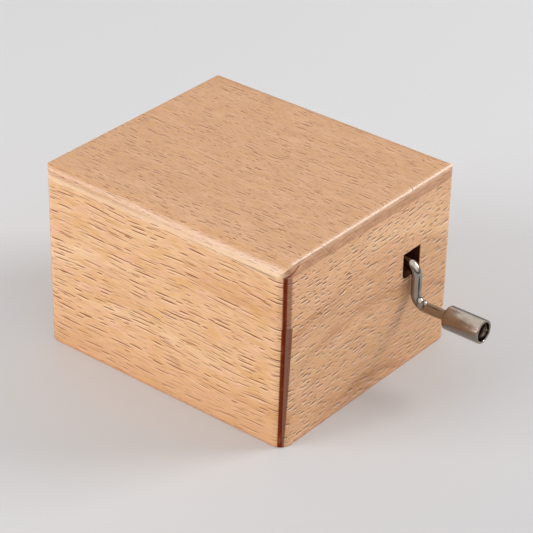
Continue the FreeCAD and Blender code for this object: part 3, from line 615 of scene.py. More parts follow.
        # The bands bend into an arch where the board is cut nearer to the bark
        arch = graph.math("POWER", graph.math("DIVIDE", length, arch_span_mm), 2.0)
        arched = graph.join(along, graph.plus(across, graph.times(arch, self.arch_mm)), depth)
        tone = self.figure(graph, fibre, arched)

        # Fine fibres are long along the grain
        threads = graph.noise(fibre, THREADS)
        thread_tone = graph.ramp(threads, ((0.32, THREAD_SHADE), (0.66, WHITE)))
        tone = graph.mix(fibre_depth, tone, thread_tone, "MULTIPLY")

        along_board, across_board, _ = self.cut.value
        facing = graph.split(graph.node("TexCoord").outputs["Normal"])
        fleck, gleam = self.flecks(graph, fibre, facing[across_board])
        # Painted highlight along the lower side of each fleck
        tone = graph.mix(graph.times(gleam, self.gleam), tone, FLECK_GLEAM)
        tone = graph.mix(graph.times(fleck, self.fleck_depth), tone, self.fleck_color)
        end_on = graph.smooth(graph.math("ABSOLUTE", facing[along_board]), 0.45, 0.95)
        tone = graph.mix(graph.times(end_on, end_wax), tone, self.end_grain(graph, in_log))

        shine: object = self.gloss
        # Strips of burnish, painted shade and painted highlight, laid over the wood's colour
        for tint_strip in self.tint_strips:
            covered = tint_strip.share(graph, place)
            tone = graph.mix(covered, tone, tint_strip.color)
            if tint_strip.matt:
                shine = graph.times(shine, graph.minus(1.0, graph.times(covered, tint_strip.matt)))

        uneven = graph.times(graph.noise(fibre, WAX), wax_spread)
        pores = graph.bump(graph.minus(threads, graph.times(fleck, fleck_pore)), self.relief_mm)
        graph.give("Base Color", tone)
        graph.give("Roughness", graph.plus(uneven, self.roughness))
        graph.give("Specular IOR Level", shine)
        graph.give("Normal", graph.bump(graph.noise(place, SANDING), sanding_mm, pores))
        return graph.material


@dataclass(frozen=True)
class MetalFinish:
    """Bare or plated metal with fine tool marks.

    Attributes:
        name: Name of the material.
        color: Colour of the clean metal.
        dull: Colour of handled or tarnished patches.
        roughness: Roughness of the clean metal.
        marks: Waves of the tool marks in a millimetre, along each axis.
        mark_depth_mm: Depth of the tool marks.
    """

    name: str
    color: Color
    dull: Color
    roughness: float
    marks: Triple
    mark_depth_mm: float = 0.002

    def build(self) -> bpy.types.Material:
        """Build the material.

        Returns:
            The material.
        """
        spread, smoothest = 0.12, self.roughness - 0.1
        graph = Graph(self.name)
        place = graph.point_mm()
        marks = graph.noise(place, Pattern(self.marks, 3.0, 0.6))
        tarnish = graph.noise(place, TARNISH)
        uneven = graph.times(graph.plus(marks, tarnish), spread)
        graph.give("Base Color", graph.mix(graph.smooth(tarnish, 0.45, 0.75), self.color, self.dull))
        graph.give("Roughness", graph.math("ADD", uneven, smoothest, clamp=True))
        graph.give("Metallic", 1.0)
        graph.give("Normal", graph.bump(marks, self.mark_depth_mm))
        return graph.material


@dataclass(frozen=True)
class MouldedFinish:
    """Moulded nylon: smooth, slightly mottled and a little translucent at its edges.

    Attributes:
        name: Name of the material.
        color: Its colour.
        shade: Colour of its darker clouds.
        roughness: Roughness of its skin where it is smoothest.
    """

    name: str
    color: Color
    shade: Color
    roughness: float

    def build(self) -> bpy.types.Material:
        """Build the material.

        Returns:
            The material.
        """
        spread, skin_mm, glow, glow_reach = 0.1, 0.004, 0.12, (0.001, 0.0008, 0.0006)
        graph = Graph(self.name)
        place = graph.point_mm()
        skin = graph.noise(place, SKIN)
        graph.give("Base Color", graph.mix(graph.noise(place, MOTTLE), self.shade, self.color))
        graph.give("Roughness", graph.plus(graph.times(skin, spread), self.roughness))
        graph.give("Subsurface Weight", glow)
        graph.give("Subsurface Radius", glow_reach)
        graph.give("Normal", graph.bump(skin, skin_mm))
        return graph.material


# ----------------------------------------------------------------------------------------
# Mesh work
# ----------------------------------------------------------------------------------------

SMOOTH_ANGLE = math.radians(32)
SHARP_ANGLE = math.radians(30)
FLAT_ANGLE = math.radians(0.6)
LARGE_FLAT_MM2 = 30.0
WELD_MM = 0.002
TINY_MM = 1e-6


def add_piece(
    name: str, shape: bmesh.types.BMesh, finish: bpy.types.Material, body: str
) -> bpy.types.Object:
    """Put a finished mesh into the scene.

    Args:
        name: Name of the piece.
        shape: Mesh in the case's own axes, in metres. It is freed.
        finish: Material of the piece.
        body: Moving body that the piece rides on.

    Returns:
        The piece.
    """
    bmesh.ops.recalc_face_normals(shape, faces=shape.faces)
    mesh = bpy.data.meshes.new(name)
    shape.to_mesh(mesh)
    shape.free()
    mesh.shade_smooth()
    mesh.set_sharp_from_angle(angle=SMOOTH_ANGLE)
    for polygon in mesh.polygons:
        if polygon.area > LARGE_FLAT_MM2 * MM**2:
            polygon.use_smooth = False
    mesh.materials.append(finish)
    piece = bpy.data.objects.new(name, mesh)
    bpy.context.scene.collection.objects.link(piece)
    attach(piece, body)
    log.info("%s: %d faces, rides on %s", name, len(mesh.polygons), body)
    return piece


def solid_copy(node: str) -> bmesh.types.BMesh:
    """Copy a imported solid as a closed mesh, with its flat faces in one piece each.

    Args:
        node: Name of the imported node.

    Returns:
        The mesh.
    """
    shape = bmesh.new()
    shape.from_mesh(frame["nodes"][node].data)
    bmesh.ops.remove_doubles(shape, verts=shape.verts, dist=WELD_MM * MM)
    bmesh.ops.dissolve_limit(
        shape, angle_limit=FLAT_ANGLE, verts=shape.verts, edges=shape.edges, delimit={"NORMAL"}
    )
    return shape


def soften(
    shape: bmesh.types.BMesh,
    width_mm: float,
    segments: int,
    wanted: Callable[[bmesh.types.BMEdge], bool] | None = None,
) -> None:
    """Round the sharp edges of a mesh.

    Args:
        shape: Mesh to change.
        width_mm: How far the rounding reaches from the edge.
        segments: Steps in the rounding.
        wanted: Test that an edge has to meet, if there is one.
    """
    sharp = [
        edge
        for edge in shape.edges
        if len(edge.link_faces) == 2
        and edge.calc_face_angle() > SHARP_ANGLE
        and (wanted is None or wanted(edge))
    ]
    bmesh.ops.bevel(
        shape,
        geom=sharp,
        offset=width_mm * MM,
        offset_type="OFFSET",
        segments=segments,
        profile=0.5,
        affect="EDGES",
        clamp_overlap=True,
    )


def softened_node(
    node: str, width_mm: float, finish: bpy.types.Material, body: str, segments: int = 2
) -> bpy.types.Object:
    """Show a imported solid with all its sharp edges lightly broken.

    Args:
        node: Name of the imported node.
        width_mm: Width of the broken edges.
        finish: Material of the piece.
        body: Moving body that it rides on.
        segments: Steps in each broken edge.

    Returns:
        The piece that stands for the node.
    """
    shape = solid_copy(node)
    if width_mm > 0:
        soften(shape, width_mm, segments)
    piece = add_piece(f"{node}_dressed", shape, finish, body)
    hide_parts(node)
    return piece


def bridge(
    shape: bmesh.types.BMesh, first: list[bmesh.types.BMVert], second: list[bmesh.types.BMVert]
) -> None:
    """Join two rings of corners with faces.

    Args:
        shape: Mesh that the rings are in.
        first: One ring, or a single point.
        second: The other.
    """
    count = max(len(first), len(second))
    for step in range(count):
        ahead = (step + 1) % count
        corners = [first[step % len(first)], first[ahead % len(first)]]
        corners += [second[ahead % len(second)], second[step % len(second)]]
        shape.faces.new(list(dict.fromkeys(corners)))


def loft(sections: list[list[Vector]]) -> bmesh.types.BMesh:
    """Skin a row of sections, and close both ends.

    Args:
        sections: Sections with the same number of points each, in millimetres.

    Returns:
        The mesh, in metres.
    """
    shape = bmesh.new()
    rings = [[shape.verts.new(point * MM) for point in section] for section in sections]
    for first, second in zip(rings, rings[1:]):
        bridge(shape, first, second)
    shape.faces.new(rings[0])
    shape.faces.new(rings[-1])
    return shape


def turned(
    profile: list[tuple[float, float]], segments: int, start: Vector, along: Vector
) -> bmesh.types.BMesh:
    """Turn a closed profile about a line, as on a lathe.

    Args:
        profile: Corners as distance along the line and radius, in millimetres.
        segments: Steps round the line.
        start: Start of the line, in millimetres.
        along: Direction of the line.

    Returns:
        The mesh, in metres.
    """
    shape = bmesh.new()
    across = along.orthogonal().normalized()
    third = along.cross(across)
    rings = []
    for distance, radius in profile:
        middle = start + along * distance
        if radius < TINY_MM:
            rings.append([shape.verts.new(middle * MM)])
            continue
        ring = []
        for step in range(segments):
            turn = 2 * math.pi * step / segments
            spoke = (across * math.cos(turn) + third * math.sin(turn)) * radius
            ring.append(shape.verts.new((middle + spoke) * MM))
        rings.append(ring)
    joins = list(zip(rings, rings[1:]))
    if len(rings[0]) > 1 and len(rings[-1]) > 1:
        joins.append((rings[-1], rings[0]))
    for first, second in joins:
        bridge(shape, first, second)
    return shape


def rounded_corner(
    center: tuple[float, float], radius: float, start_deg: float, steps: int
) -> list[tuple[float, float]]:
    """Find the points of a quarter round.

    Args:
        center: Centre of the round.
        radius: Its radius.
        start_deg: Angle at which it starts; it runs on for 90 degrees.
        steps: Steps in the quarter.

    Returns:
        The points, both ends included.
    """
    points = []
    for step in range(steps + 1):
        turn = math.radians(start_deg + 90 * step / steps)
        points.append((center[0] + radius * math.cos(turn), center[1] + radius * math.sin(turn)))
    return points


# ----------------------------------------------------------------------------------------
# Wooden case
# ----------------------------------------------------------------------------------------


@dataclass
class WoodenCase:
    """Beech case: boards, lid rails, lid board and floor.

    Attributes:
        half_width: Half of the case's width, in millimetres.
        half_depth: Half of its depth.
        seam: Height of the body's top edge.
        lid_base: Height of the lid's lower edge.
        panel_base: Height of the glue line under the lid board.
        top: Height of the case.
        corner_radius: Rounding of the upright corners.
        end_round: Rounding of the lid board's two ends.
        back_round: Rounding of its back edge.
        front_rounds: Rounding of its front edge at the left and at the right.
        foot_round: Rounding of the body's lower edges.
        arris: Broken edges at the mitres and the crank's notch.
        foot_rim: How far in from the case's sides an edge of the underside still counts as outer.
        arris_rim: The same for the other edges.
        flush: How near to a plane an edge lies in it.
    """

    half_width: float = 34.0
    half_depth: float = 30.0
    seam: float = 29.5
    lid_base: float = 29.58
    panel_base: float = 41.78
    top: float = 44.98
    corner_radius: float = 2.8
    end_round: float = 1.3
    back_round: float = 2.8
    front_rounds: tuple[float, float] = (1.9, 3.8)
    foot_round: float = 0.7
    arris: float = 0.14
    foot_rim: float = 1.0
    arris_rim: float = 1.2
    flush: float = 0.01

    def finishes(self) -> dict[str, bpy.types.Material]:
        """Build one beech for each way that the boards are cut.

        Returns:
            Materials by name.
        """
        # Strips along the outer faces end in the air, a little past the case
        past_side, past_front = 35.0, -31.0
        mitre_dark, mitre_brown, mitre_grey = srgb(116, 42, 14), srgb(112, 52, 30), srgb(136, 92, 74)
        left_edge, foot_dark, notch_shade = srgb(188, 112, 84), srgb(186, 118, 80), srgb(66, 24, 14)
        painted_highlight, front_pale = srgb(252, 232, 208), srgb(240, 198, 154)
        left_strip = TintStrip(Axis.X, -past_side, -32.7, 0.15, left_edge, 0.7)
        front = BeechFinish(
            name="beech_front",
            cut=Cut.FRONT,
            slope_deg=-0.5,
            fleck_mm=(7.6, 1.1, 1.8),
            fleck_depth=1.0,
            gleam=0.4,
            light=srgb(249, 214, 174),
            body=srgb(235, 190, 145),
            deep=srgb(214, 156, 104),
            shift_mm=(3.0, 0.0, 11.0),
            tint_strips=(
                # Painted shade darkening the front towards its foot, then a darker strip along the foot itself
                TintStrip(Axis.Z, -9.0, 6.0, 5.5, srgb(208, 154, 110), 0.5),
                TintStrip(Axis.Z, -1.0, 0.5, 0.4, foot_dark, 0.5),
                left_strip,
                TintStrip(Axis.X, 32.4, past_side, 0.14, mitre_dark, 1.0, lean=0.0105, matt=0.9),
            ),
        )
        front_lid = replace(
            front,
            name="beech_front_lid",
            tint_strips=(
                left_strip,
                # Painted highlight along the top of the rail, under the lid board's front round
                TintStrip(Axis.Z, 41.4, 43.0, 0.5, painted_highlight, 0.2),
                TintStrip(Axis.X, 32.8, past_side, 0.16, mitre_dark, 1.0, matt=0.9),
            ),
        )
        notch = ((Axis.Y, 11.1, 17.5), (Axis.Z, 22.9, 29.45))
        side = BeechFinish(
            name="beech_side",
            cut=Cut.SIDE,
            slope_deg=4.0,
            fleck_mm=(2.5, 1.1, 1.2),
            fleck_depth=1.0,
            gleam=0.7,
            light=srgb(244, 201, 158),
            body=srgb(225, 176, 133),
            deep=srgb(192, 134, 92),
            arch_mm=9.0,
            shift_mm=(0.0, 6.0, 2.0),
            patchiness=0.25,
            relief_mm=0.06,
            fleck_color=srgb(106, 52, 22),
            tint_strips=(
                TintStrip(Axis.Z, -1.0, 0.4, 0.3, srgb(190, 120, 76), 0.5),
                TintStrip(Axis.Y, past_front, -28.82, 0.12, mitre_brown, 0.85, lean=0.0456),
                TintStrip(Axis.Y, past_front, -29.17, 0.1, mitre_grey, 0.9, lean=0.0308),
                TintStrip(Axis.Y, past_front, -29.22, 0.1, mitre_dark, 1.0, lean=0.0105, matt=0.9),
                # Painted shade on the walls of the crank's notch
                TintStrip(Axis.X, 28.1, 33.85, 0.08, notch_shade, 0.98, within=notch),
            ),
        )
        side_lid = replace(
            side,
            name="beech_side_lid",
            light=srgb(246, 201, 158),
            body=srgb(234, 184, 141),
            deep=srgb(213, 156, 110),
            tint_strips=(
                # Painted shade on the lid's side next to its front corner
                TintStrip(Axis.Y, past_front, -27.85, 0.3, srgb(140, 88, 64), 0.75),
                TintStrip(Axis.Y, past_front, -28.83, 0.12, mitre_dark, 0.95, matt=0.9),
            ),
        )
        mitre_end = ((Axis.X, 32.7, past_side), (Axis.Z, 41.0, 43.9))
        panel = BeechFinish(
            name="beech_panel",
            cut=Cut.FLAT,
            slope_deg=1.0,
            fleck_mm=(3.6, 1.1, 1.2),
            fleck_depth=0.9,
            gleam=0.2,
            light=srgb(218, 171, 127),
            body=srgb(210, 161, 115),
            deep=srgb(200, 146, 96),
            shift_mm=(0.0, 21.0, 0.0),
            patchiness=0.2,
            fold_mm=self.top,
            roughness=0.2,
            gloss=0.62,
            tint_strips=(
                TintStrip(Axis.Y, past_front, -29.5, 0.35, front_pale, 0.6, within=((Axis.Z, 40.0, 42.6),)),
                # Painted highlight along the lid board's front round
                TintStrip(Axis.Y, past_front, -28.9, 0.5, painted_highlight, 0.2, within=((Axis.Z, 40.0, 43.2),)),
                # Painted highlight along the lid board's right round
                TintStrip(Axis.X, 33.0, past_side, 0.25, painted_highlight, 0.15, within=((Axis.Z, 43.9, 45.6),)),
                TintStrip(Axis.Y, -100.9, -100.1, 0.14, mitre_dark, 0.85, 1.7, within=mitre_end, matt=0.9),
            ),
        )
        inner = BeechFinish(
            name="beech_floor",
            cut=Cut.FLAT,
            slope_deg=1.0,
            fleck_mm=(3.0, 1.0, 1.2),
            fleck_depth=0.6,
            gleam=0.4,
            light=srgb(232, 196, 152),
            body=srgb(222, 180, 134),
            deep=srgb(204, 156, 110),
            shift_mm=(40.0, 3.0, 9.0),
        )
        return {wood.name: wood.build() for wood in (front, front_lid, side, side_lid, panel, inner)}

    def at_side(self, middle: Vector, rim: float) -> bool:
        """Whether a point, in millimetres, lies within a rim of the case's four sides."""
        return abs(middle.x) > self.half_width - rim or abs(middle.y) > self.half_depth - rim

    def at_seam(self, edge: bmesh.types.BMEdge) -> bool:
        """Whether an edge lies in a plane where two boards meet flush."""
        levels, near = (self.seam, self.lid_base, self.panel_base), self.flush * MM
        return any(all(abs(vert.co.z - level * MM) < near for vert in edge.verts) for level in levels)

    def at_foot(self, edge: bmesh.types.BMEdge) -> bool:
        """Find out whether an edge runs round the outside of the underside.

        Args:
            edge: The edge.

        Returns:
            Whether it does.
        """
        if any(abs(vert.co.z) > self.flush * MM for vert in edge.verts):
            return False
        return self.at_side((edge.verts[0].co + edge.verts[1].co) / (2 * MM), self.foot_rim)

    def at_arris(self, edge: bmesh.types.BMEdge) -> bool:
        """Find out whether an edge is on the outside of the case, off the flush planes and the underside.

        Args:
            edge: The edge.

        Returns:
            Whether it is.
        """
        middle = (edge.verts[0].co + edge.verts[1].co) / (2 * MM)
        outside = self.at_side(middle, self.arris_rim)
        return outside and not self.at_seam(edge) and middle.z > self.foot_round

    def board(self, node: str, finish: bpy.types.Material, body: str) -> None:
        """Show one board or rail with its outer edges sanded.

        Args:
            node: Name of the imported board.
            finish: Its beech.
            body: Moving body that it rides on.
        """
        arris_steps, foot_steps = 2, 4
        shape = solid_copy(node)
        soften(shape, self.arris, arris_steps, self.at_arris)
        if body == "case":
            soften(shape, self.foot_round, foot_steps, self.at_foot)
        piece = add_piece(f"{node}_dressed", shape, finish, body)
        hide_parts(node)

    def stations(self) -> list[float]:
        """Choose where along the lid board's width its section is drawn, closer together at the rounded ends.

        Returns:
            The places, in order.
        """
        corner_steps, round_steps, straight_steps, digits = 14, 10, 8, 4
        right = set()
        for radius, steps in ((self.corner_radius, corner_steps), (self.end_round, round_steps)):
            for step in range(steps + 1):
                reach = self.half_width - radius + radius * math.sin(math.pi / 2 * step / steps)
                right.add(round(reach, digits))
        flat = self.half_width - self.corner_radius
        middle = {round(flat * (2 * step / straight_steps - 1), digits) for step in range(straight_steps + 1)}
        return sorted(right | {-x for x in right} | middle)

    def shoulder(self, radius: float, inset: float, level: float) -> list[tuple[float, float]]:
        """Rounded edge of the lid board in section, from its outer face inwards.

        Args:
            radius: Radius of the round.
            inset: How far the upright corner has moved the outer face inwards.
            level: Height of the board's top at this place.

        Returns:
            Distances from the straight outer face, each with its height.
        """
        steps = 18
        start = math.acos(1 - min(inset / radius, 1.0))
        end = math.asin(min((level - self.top) / radius + 1, 1.0))
        if start >= end:
            return [(inset, level)] * (steps + 1)
        turns = [start + (end - start) * step / steps for step in range(steps + 1)]
        return [(radius * (1 - math.cos(turn)), self.top - radius * (1 - math.sin(turn))) for turn in turns]

    def lid_section(self, x: float) -> list[Vector]:
        """Draw the section of the lid board at one place along its width.

        Args:
            x: The place.

        Returns:
            Its outline as a closed loop, in millimetres.
        """
        past_corner = max(abs(x) - self.half_width + self.corner_radius, 0.0)
        inset = self.corner_radius - math.sqrt(max(self.corner_radius**2 - past_corner**2, 0.0))
        past_round = max(abs(x) - self.half_width + self.end_round, 0.0)
        level = self.top - self.end_round + math.sqrt(max(self.end_round**2 - past_round**2, 0.0))
        left, right = self.front_rounds
        front_radius = left + (right - left) * (x + self.half_width) / (2 * self.half_width)
        front = [(y - self.half_depth, z) for y, z in self.shoulder(front_radius, inset, level)]
        back = [(self.half_depth - y, z) for y, z in self.shoulder(self.back_round, inset, level)]
        reach = self.half_depth - inset
        loop = [(-reach, self.panel_base), *front, *reversed(back), (reach, self.panel_base)]
        return [Vector((x, y, z)) for y, z in loop]

    def lid_board(self, finish: bpy.types.Material) -> None:
        """Show the lid board with its smooth rounds, the front one growing from left to right.

        Args:
            finish: Its beech.
        """
        doubled_mm = 0.0005
        shape = loft([self.lid_section(x) for x in self.stations()])
        bmesh.ops.remove_doubles(shape, verts=shape.verts, dist=doubled_mm * MM)
        piece = add_piece("lid_top_panel_dressed", shape, finish, "lid")
        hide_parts("lid_top_panel")

    def dress(self) -> None:
        """Build every wooden piece."""
        floor_edge = 0.1
        woods = self.finishes()
        boards = (
            ("case", "beech_front", ("front_board", "back_board")),
            ("case", "beech_side", ("right_board", "left_board")),
            ("lid", "beech_front_lid", ("lid_front_rail", "lid_back_rail")),
            ("lid", "beech_side_lid", ("lid_right_rail", "lid_left_rail")),
        )
        for body, wood, nodes in boards:
            for node in nodes:
                self.board(node, woods[wood], body)
        self.lid_board(woods["beech_panel"])
        softened_node("floor_board", floor_edge, woods["beech_floor"], "case")


# ----------------------------------------------------------------------------------------
# Crank
# ----------------------------------------------------------------------------------------


@dataclass
class Crank:
    """Bent wire with pinched ears and a spread end, and the loose knob on it. Sizes are in millimetres.

    Attributes:
        wire_radius: Radius of the wire.
        shaft_start: Inner end of the shaft, along X.
        shaft_y: Distance of the shaft from the case's middle.
        shaft_z: Height of the shaft.
        arm_x: Place of the arm's middle line along X.
        bend_radius: Radius of both bends, at the wire's middle line.
        throw: Drop from the shaft to the knob.
        ear_x: Middle of the pinched ears along X.
        ear_half: Reach of the upper ear.
        ear_below: Reach of the lower ear and of the spread end's lower half, which are pressed flatter.
        ear_spread: How far the pinch reaches to each side of the ears' middle.
        ear_pinch: How much of the wire's thickness the pinch takes away.
        head_x: Start of the spread end.
        head_radius: Radius of the spread end.
        head_thickness: Thickness of the spread end.
        head_neck: Radius where the spread end starts, as a share of its full radius.
        head_edge: Share of its thickness up to its widest place.
        head_dome: Share of its squared radius that the dome has lost at its tip.
        knob_x: Start of the knob.
        knob_length: Length of the knob.
        knob_radius: Radius of the knob.
        knob_bore: Radius of its bore.
        knob_round: Rounding of its edge next to the case.
        recess_radius: Radius of the recess in its outer end.
        recess_depth: Depth of that recess.
    """

    wire_radius: float = 1.2
    shaft_start: float = -3.44
    shaft_y: float = 14.3
    shaft_z: float = 26.1
    arm_x: float = 35.6
    bend_radius: float = 2.8
    throw: float = 9.6
    ear_x: float = 37.9
    ear_half: float = 1.8
    ear_below: float = 1.5
    ear_spread: float = 0.95
    ear_pinch: float = 0.55
    head_x: float = 51.65
    head_radius: float = 1.7
    head_thickness: float = 0.8
    head_neck: float = 0.86
    head_edge: float = 0.3
    head_dome: float = 0.92
    knob_x: float = 44.3
    knob_length: float = 9.6
    knob_radius: float = 2.8
    knob_bore: float = 1.26
    knob_round: float = 0.6
    recess_radius: float = 2.2
    recess_depth: float = 2.4

    def middle_line(self) -> list[tuple[Vector, Vector]]:
        """Follow the wire from its inner end to its tip.

        Returns:
            Points along the wire, in millimetres, each with the direction that it runs in there.
        """
        bend_steps, ear_steps, dome_steps = 18, 16, 6
        ear_reach, head_lead, head_start = 1.1, 0.5, 0.12
        low_z = self.shaft_z - self.throw
        upper = Vector((self.arm_x - self.bend_radius, self.shaft_y, self.shaft_z - self.bend_radius))
        lower = Vector((self.arm_x + self.bend_radius, self.shaft_y, low_z + self.bend_radius))
        out, down = Vector((1, 0, 0)), Vector((0, 0, -1))
        line = [(Vector((self.shaft_start, self.shaft_y, self.shaft_z)), out)]
        for center, before, after in ((upper, out, down), (lower, down, out)):
            for step in range(bend_steps + 1):
                turn = math.pi / 2 * step / bend_steps
                spoke = before * math.sin(turn) - after * math.cos(turn)
                direction = before * math.cos(turn) + after * math.sin(turn)
                line.append((center + spoke * self.bend_radius, direction))

        start = self.arm_x + self.bend_radius
        ears = self.ear_x + ear_reach - start
        run = [start + ears * step / ear_steps for step in range(1, ear_steps + 1)]
        run.append(self.head_x - head_lead)
        shares = [0.0, head_start, self.head_edge]
        for step in range(1, dome_steps + 1):
            dome = math.sin(math.pi / 2 * step / dome_steps)
            shares.append(self.head_edge + (1 - self.head_edge) * dome)
        run += [self.head_x + share * self.head_thickness for share in shares]
        return line + [(Vector((x, self.shaft_y, low_z)), out) for x in run]

    def section(self, point: Vector) -> tuple[float, float]:
        """Find the wire's half height and half thickness at a point of its middle line.

        Args:
            point: Point of the middle line, in millimetres.

        Returns:
            Half size in the crank's plane and half size across it.
        """
        if point.x >= self.head_x - TINY_MM:
            share = (point.x - self.head_x) / self.head_thickness
            grown = min(share / self.head_edge, 1.0)
            radius = self.head_radius * (self.head_neck + (1 - self.head_neck) * grown)
            if share > self.head_edge:
                dome = (share - self.head_edge) / (1 - self.head_edge)
                radius = self.head_radius * math.sqrt(max(1 - dome**2 * self.head_dome, 0.0))
            return radius, radius
        pinch, low_reach = 0.0, 1.0
        if point.z < self.shaft_z - self.throw + low_reach:
            pinch = max(1 - abs(point.x - self.ear_x) / self.ear_spread, 0.0)
        pinch = pinch * pinch * (3 - 2 * pinch)
        half_height = self.wire_radius + (self.ear_half - self.wire_radius) * pinch
        return half_height, self.wire_radius - self.ear_pinch * pinch

    def wire(self, finish: bpy.types.Material) -> None:
        """Show the wire.

        Args:
            finish: Plating.
        """
        segments = 40
        across = Vector((0, 1, 0))
        sections = []
        for point, direction in self.middle_line():
            in_plane = across.cross(direction)
            high, wide = self.section(point)
            ring = []
            for step in range(segments):
                turn = 2 * math.pi * step / segments
                reach = high if math.cos(turn) < 0 else min(high, self.ear_below)
                ring.append(point + in_plane * (reach * math.cos(turn)) + across * (wide * math.sin(turn)))
            sections.append(ring)
        piece = add_piece("crank_wire_dressed", loft(sections), finish, "crank")
        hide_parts("crank_wire")

    def knob(self, finish: bpy.types.Material) -> None:
        """Show the knob.

        Args:
            finish: Plating.
        """
        segments, round_steps, rim, chamfer, band = 72, 8, 0.16, 0.2, 0.08
        # Corners of the outer end: how far they lie back from it, and how far from the wall
        outer_lip = ((0.3, 0.0), (0.22, 0.0), (0.07, 0.06), (0.0, 0.18))
        inner_lip = ((0.0, 0.14), (0.1, 0.02), (0.25, 0.0))
        end, wall, recess = self.knob_length, self.knob_radius, self.recess_radius
        floor = end - self.recess_depth
        profile = [(floor, self.knob_bore), (rim, self.knob_bore), (0.0, self.knob_bore + rim)]
        middle = (self.knob_round, wall - self.knob_round)
        profile += reversed(rounded_corner(middle, self.knob_round, 90, round_steps))
        profile.append((self.knob_round + band, wall))
        profile += [(end - back, wall - inward) for back, inward in outer_lip]
        profile += [(end - back, recess + outward) for back, outward in inner_lip]
        profile += [(floor + chamfer, recess), (floor, recess - chamfer)]
        start = Vector((self.knob_x, self.shaft_y, self.shaft_z - self.throw))
        shape = turned(profile, segments, start, Vector((1, 0, 0)))
        piece = add_piece("crank_knob_dressed", shape, finish, "knob")
        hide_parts("crank_knob")

    def dress(self) -> None:
        """Build the crank and its knob."""
        wire_plate = MetalFinish(
            name="nickel_wire",
            color=srgb(158, 150, 142),
            dull=srgb(136, 126, 116),
            roughness=0.1,
            marks=(1.2, 1.2, 1.2),
            mark_depth_mm=0.003,
        )
        knob_plate = MetalFinish(
            name="nickel_knob",
            color=srgb(156, 147, 138),
            dull=srgb(134, 122, 110),
            roughness=0.13,
            marks=(6.0, 0.6, 0.6),
            mark_depth_mm=0.0015,
        )
        self.wire(wire_plate.build())
        self.knob(knob_plate.build())


# ----------------------------------------------------------------------------------------
# Movement
# ----------------------------------------------------------------------------------------


@dataclass
class Screw:
    """Slotted screw head that sits on a flat face. Sizes are in millimetres.

    Attributes:
        name: Name of the piece.
        place: Middle of the head on the face that it sits on.
        out: Direction that the head faces.
        radius: Radius of the head.
        height: Height of the head.
        slot_turn_deg: How far its slot is turned.
        slot_share: Half width of the slot, as a share of the radius.
        slot_depth: Depth of the slot, as a share of the height.
    """

    name: str
    place: Vector
    out: Vector
    radius: float
    height: float
    slot_turn_deg: float
    slot_share: float = 0.13
    slot_depth: float = 0.4

    def mesh(self) -> bmesh.types.BMesh:
        """Build the head with its slot cut in.

        Returns:
            The mesh, in metres.
        """
        segments, widest_edge, edge_bulge, near, top_band = 40, 0.12, 0.3, 0.002, 1.2
        edge = min(widest_edge, self.height / 3)
        bulge = edge * edge_bulge
        profile = [(0.0, 0.0), (0.0, self.radius), (self.height - edge, self.radius)]
        profile += [(self.height - bulge, self.radius - bulge), (self.height, self.radius - edge)]
        profile.append((self.height, 0.0))
        head = turned(profile, segments, Vector((0, 0, 0)), Vector((0, 0, 1)))
        half_slot = self.slot_share * self.radius
        for side in (-1, 1):
            bmesh.ops.bisect_plane(
                head,
                geom=[*head.verts, *head.edges, *head.faces],
                plane_co=Vector((0, side * half_slot * MM, 0)),
                plane_no=Vector((0, side, 0)),
            )
        floor_z = (self.height - self.slot_depth * self.height) * MM
        top_z = (self.height - edge * top_band) * MM
        for vert in head.verts:
            if abs(vert.co.y) < (half_slot - near) * MM and vert.co.z > top_z:
                vert.co.z = floor_z
        facing = self.out.to_track_quat("Z", "Y") @ Quaternion((0, 0, 1), math.radians(self.slot_turn_deg))
        seat = Matrix.Translation(self.place * MM) @ facing.to_matrix().to_4x4()
        bmesh.ops.transform(head, matrix=seat, verts=head.verts)
        return head


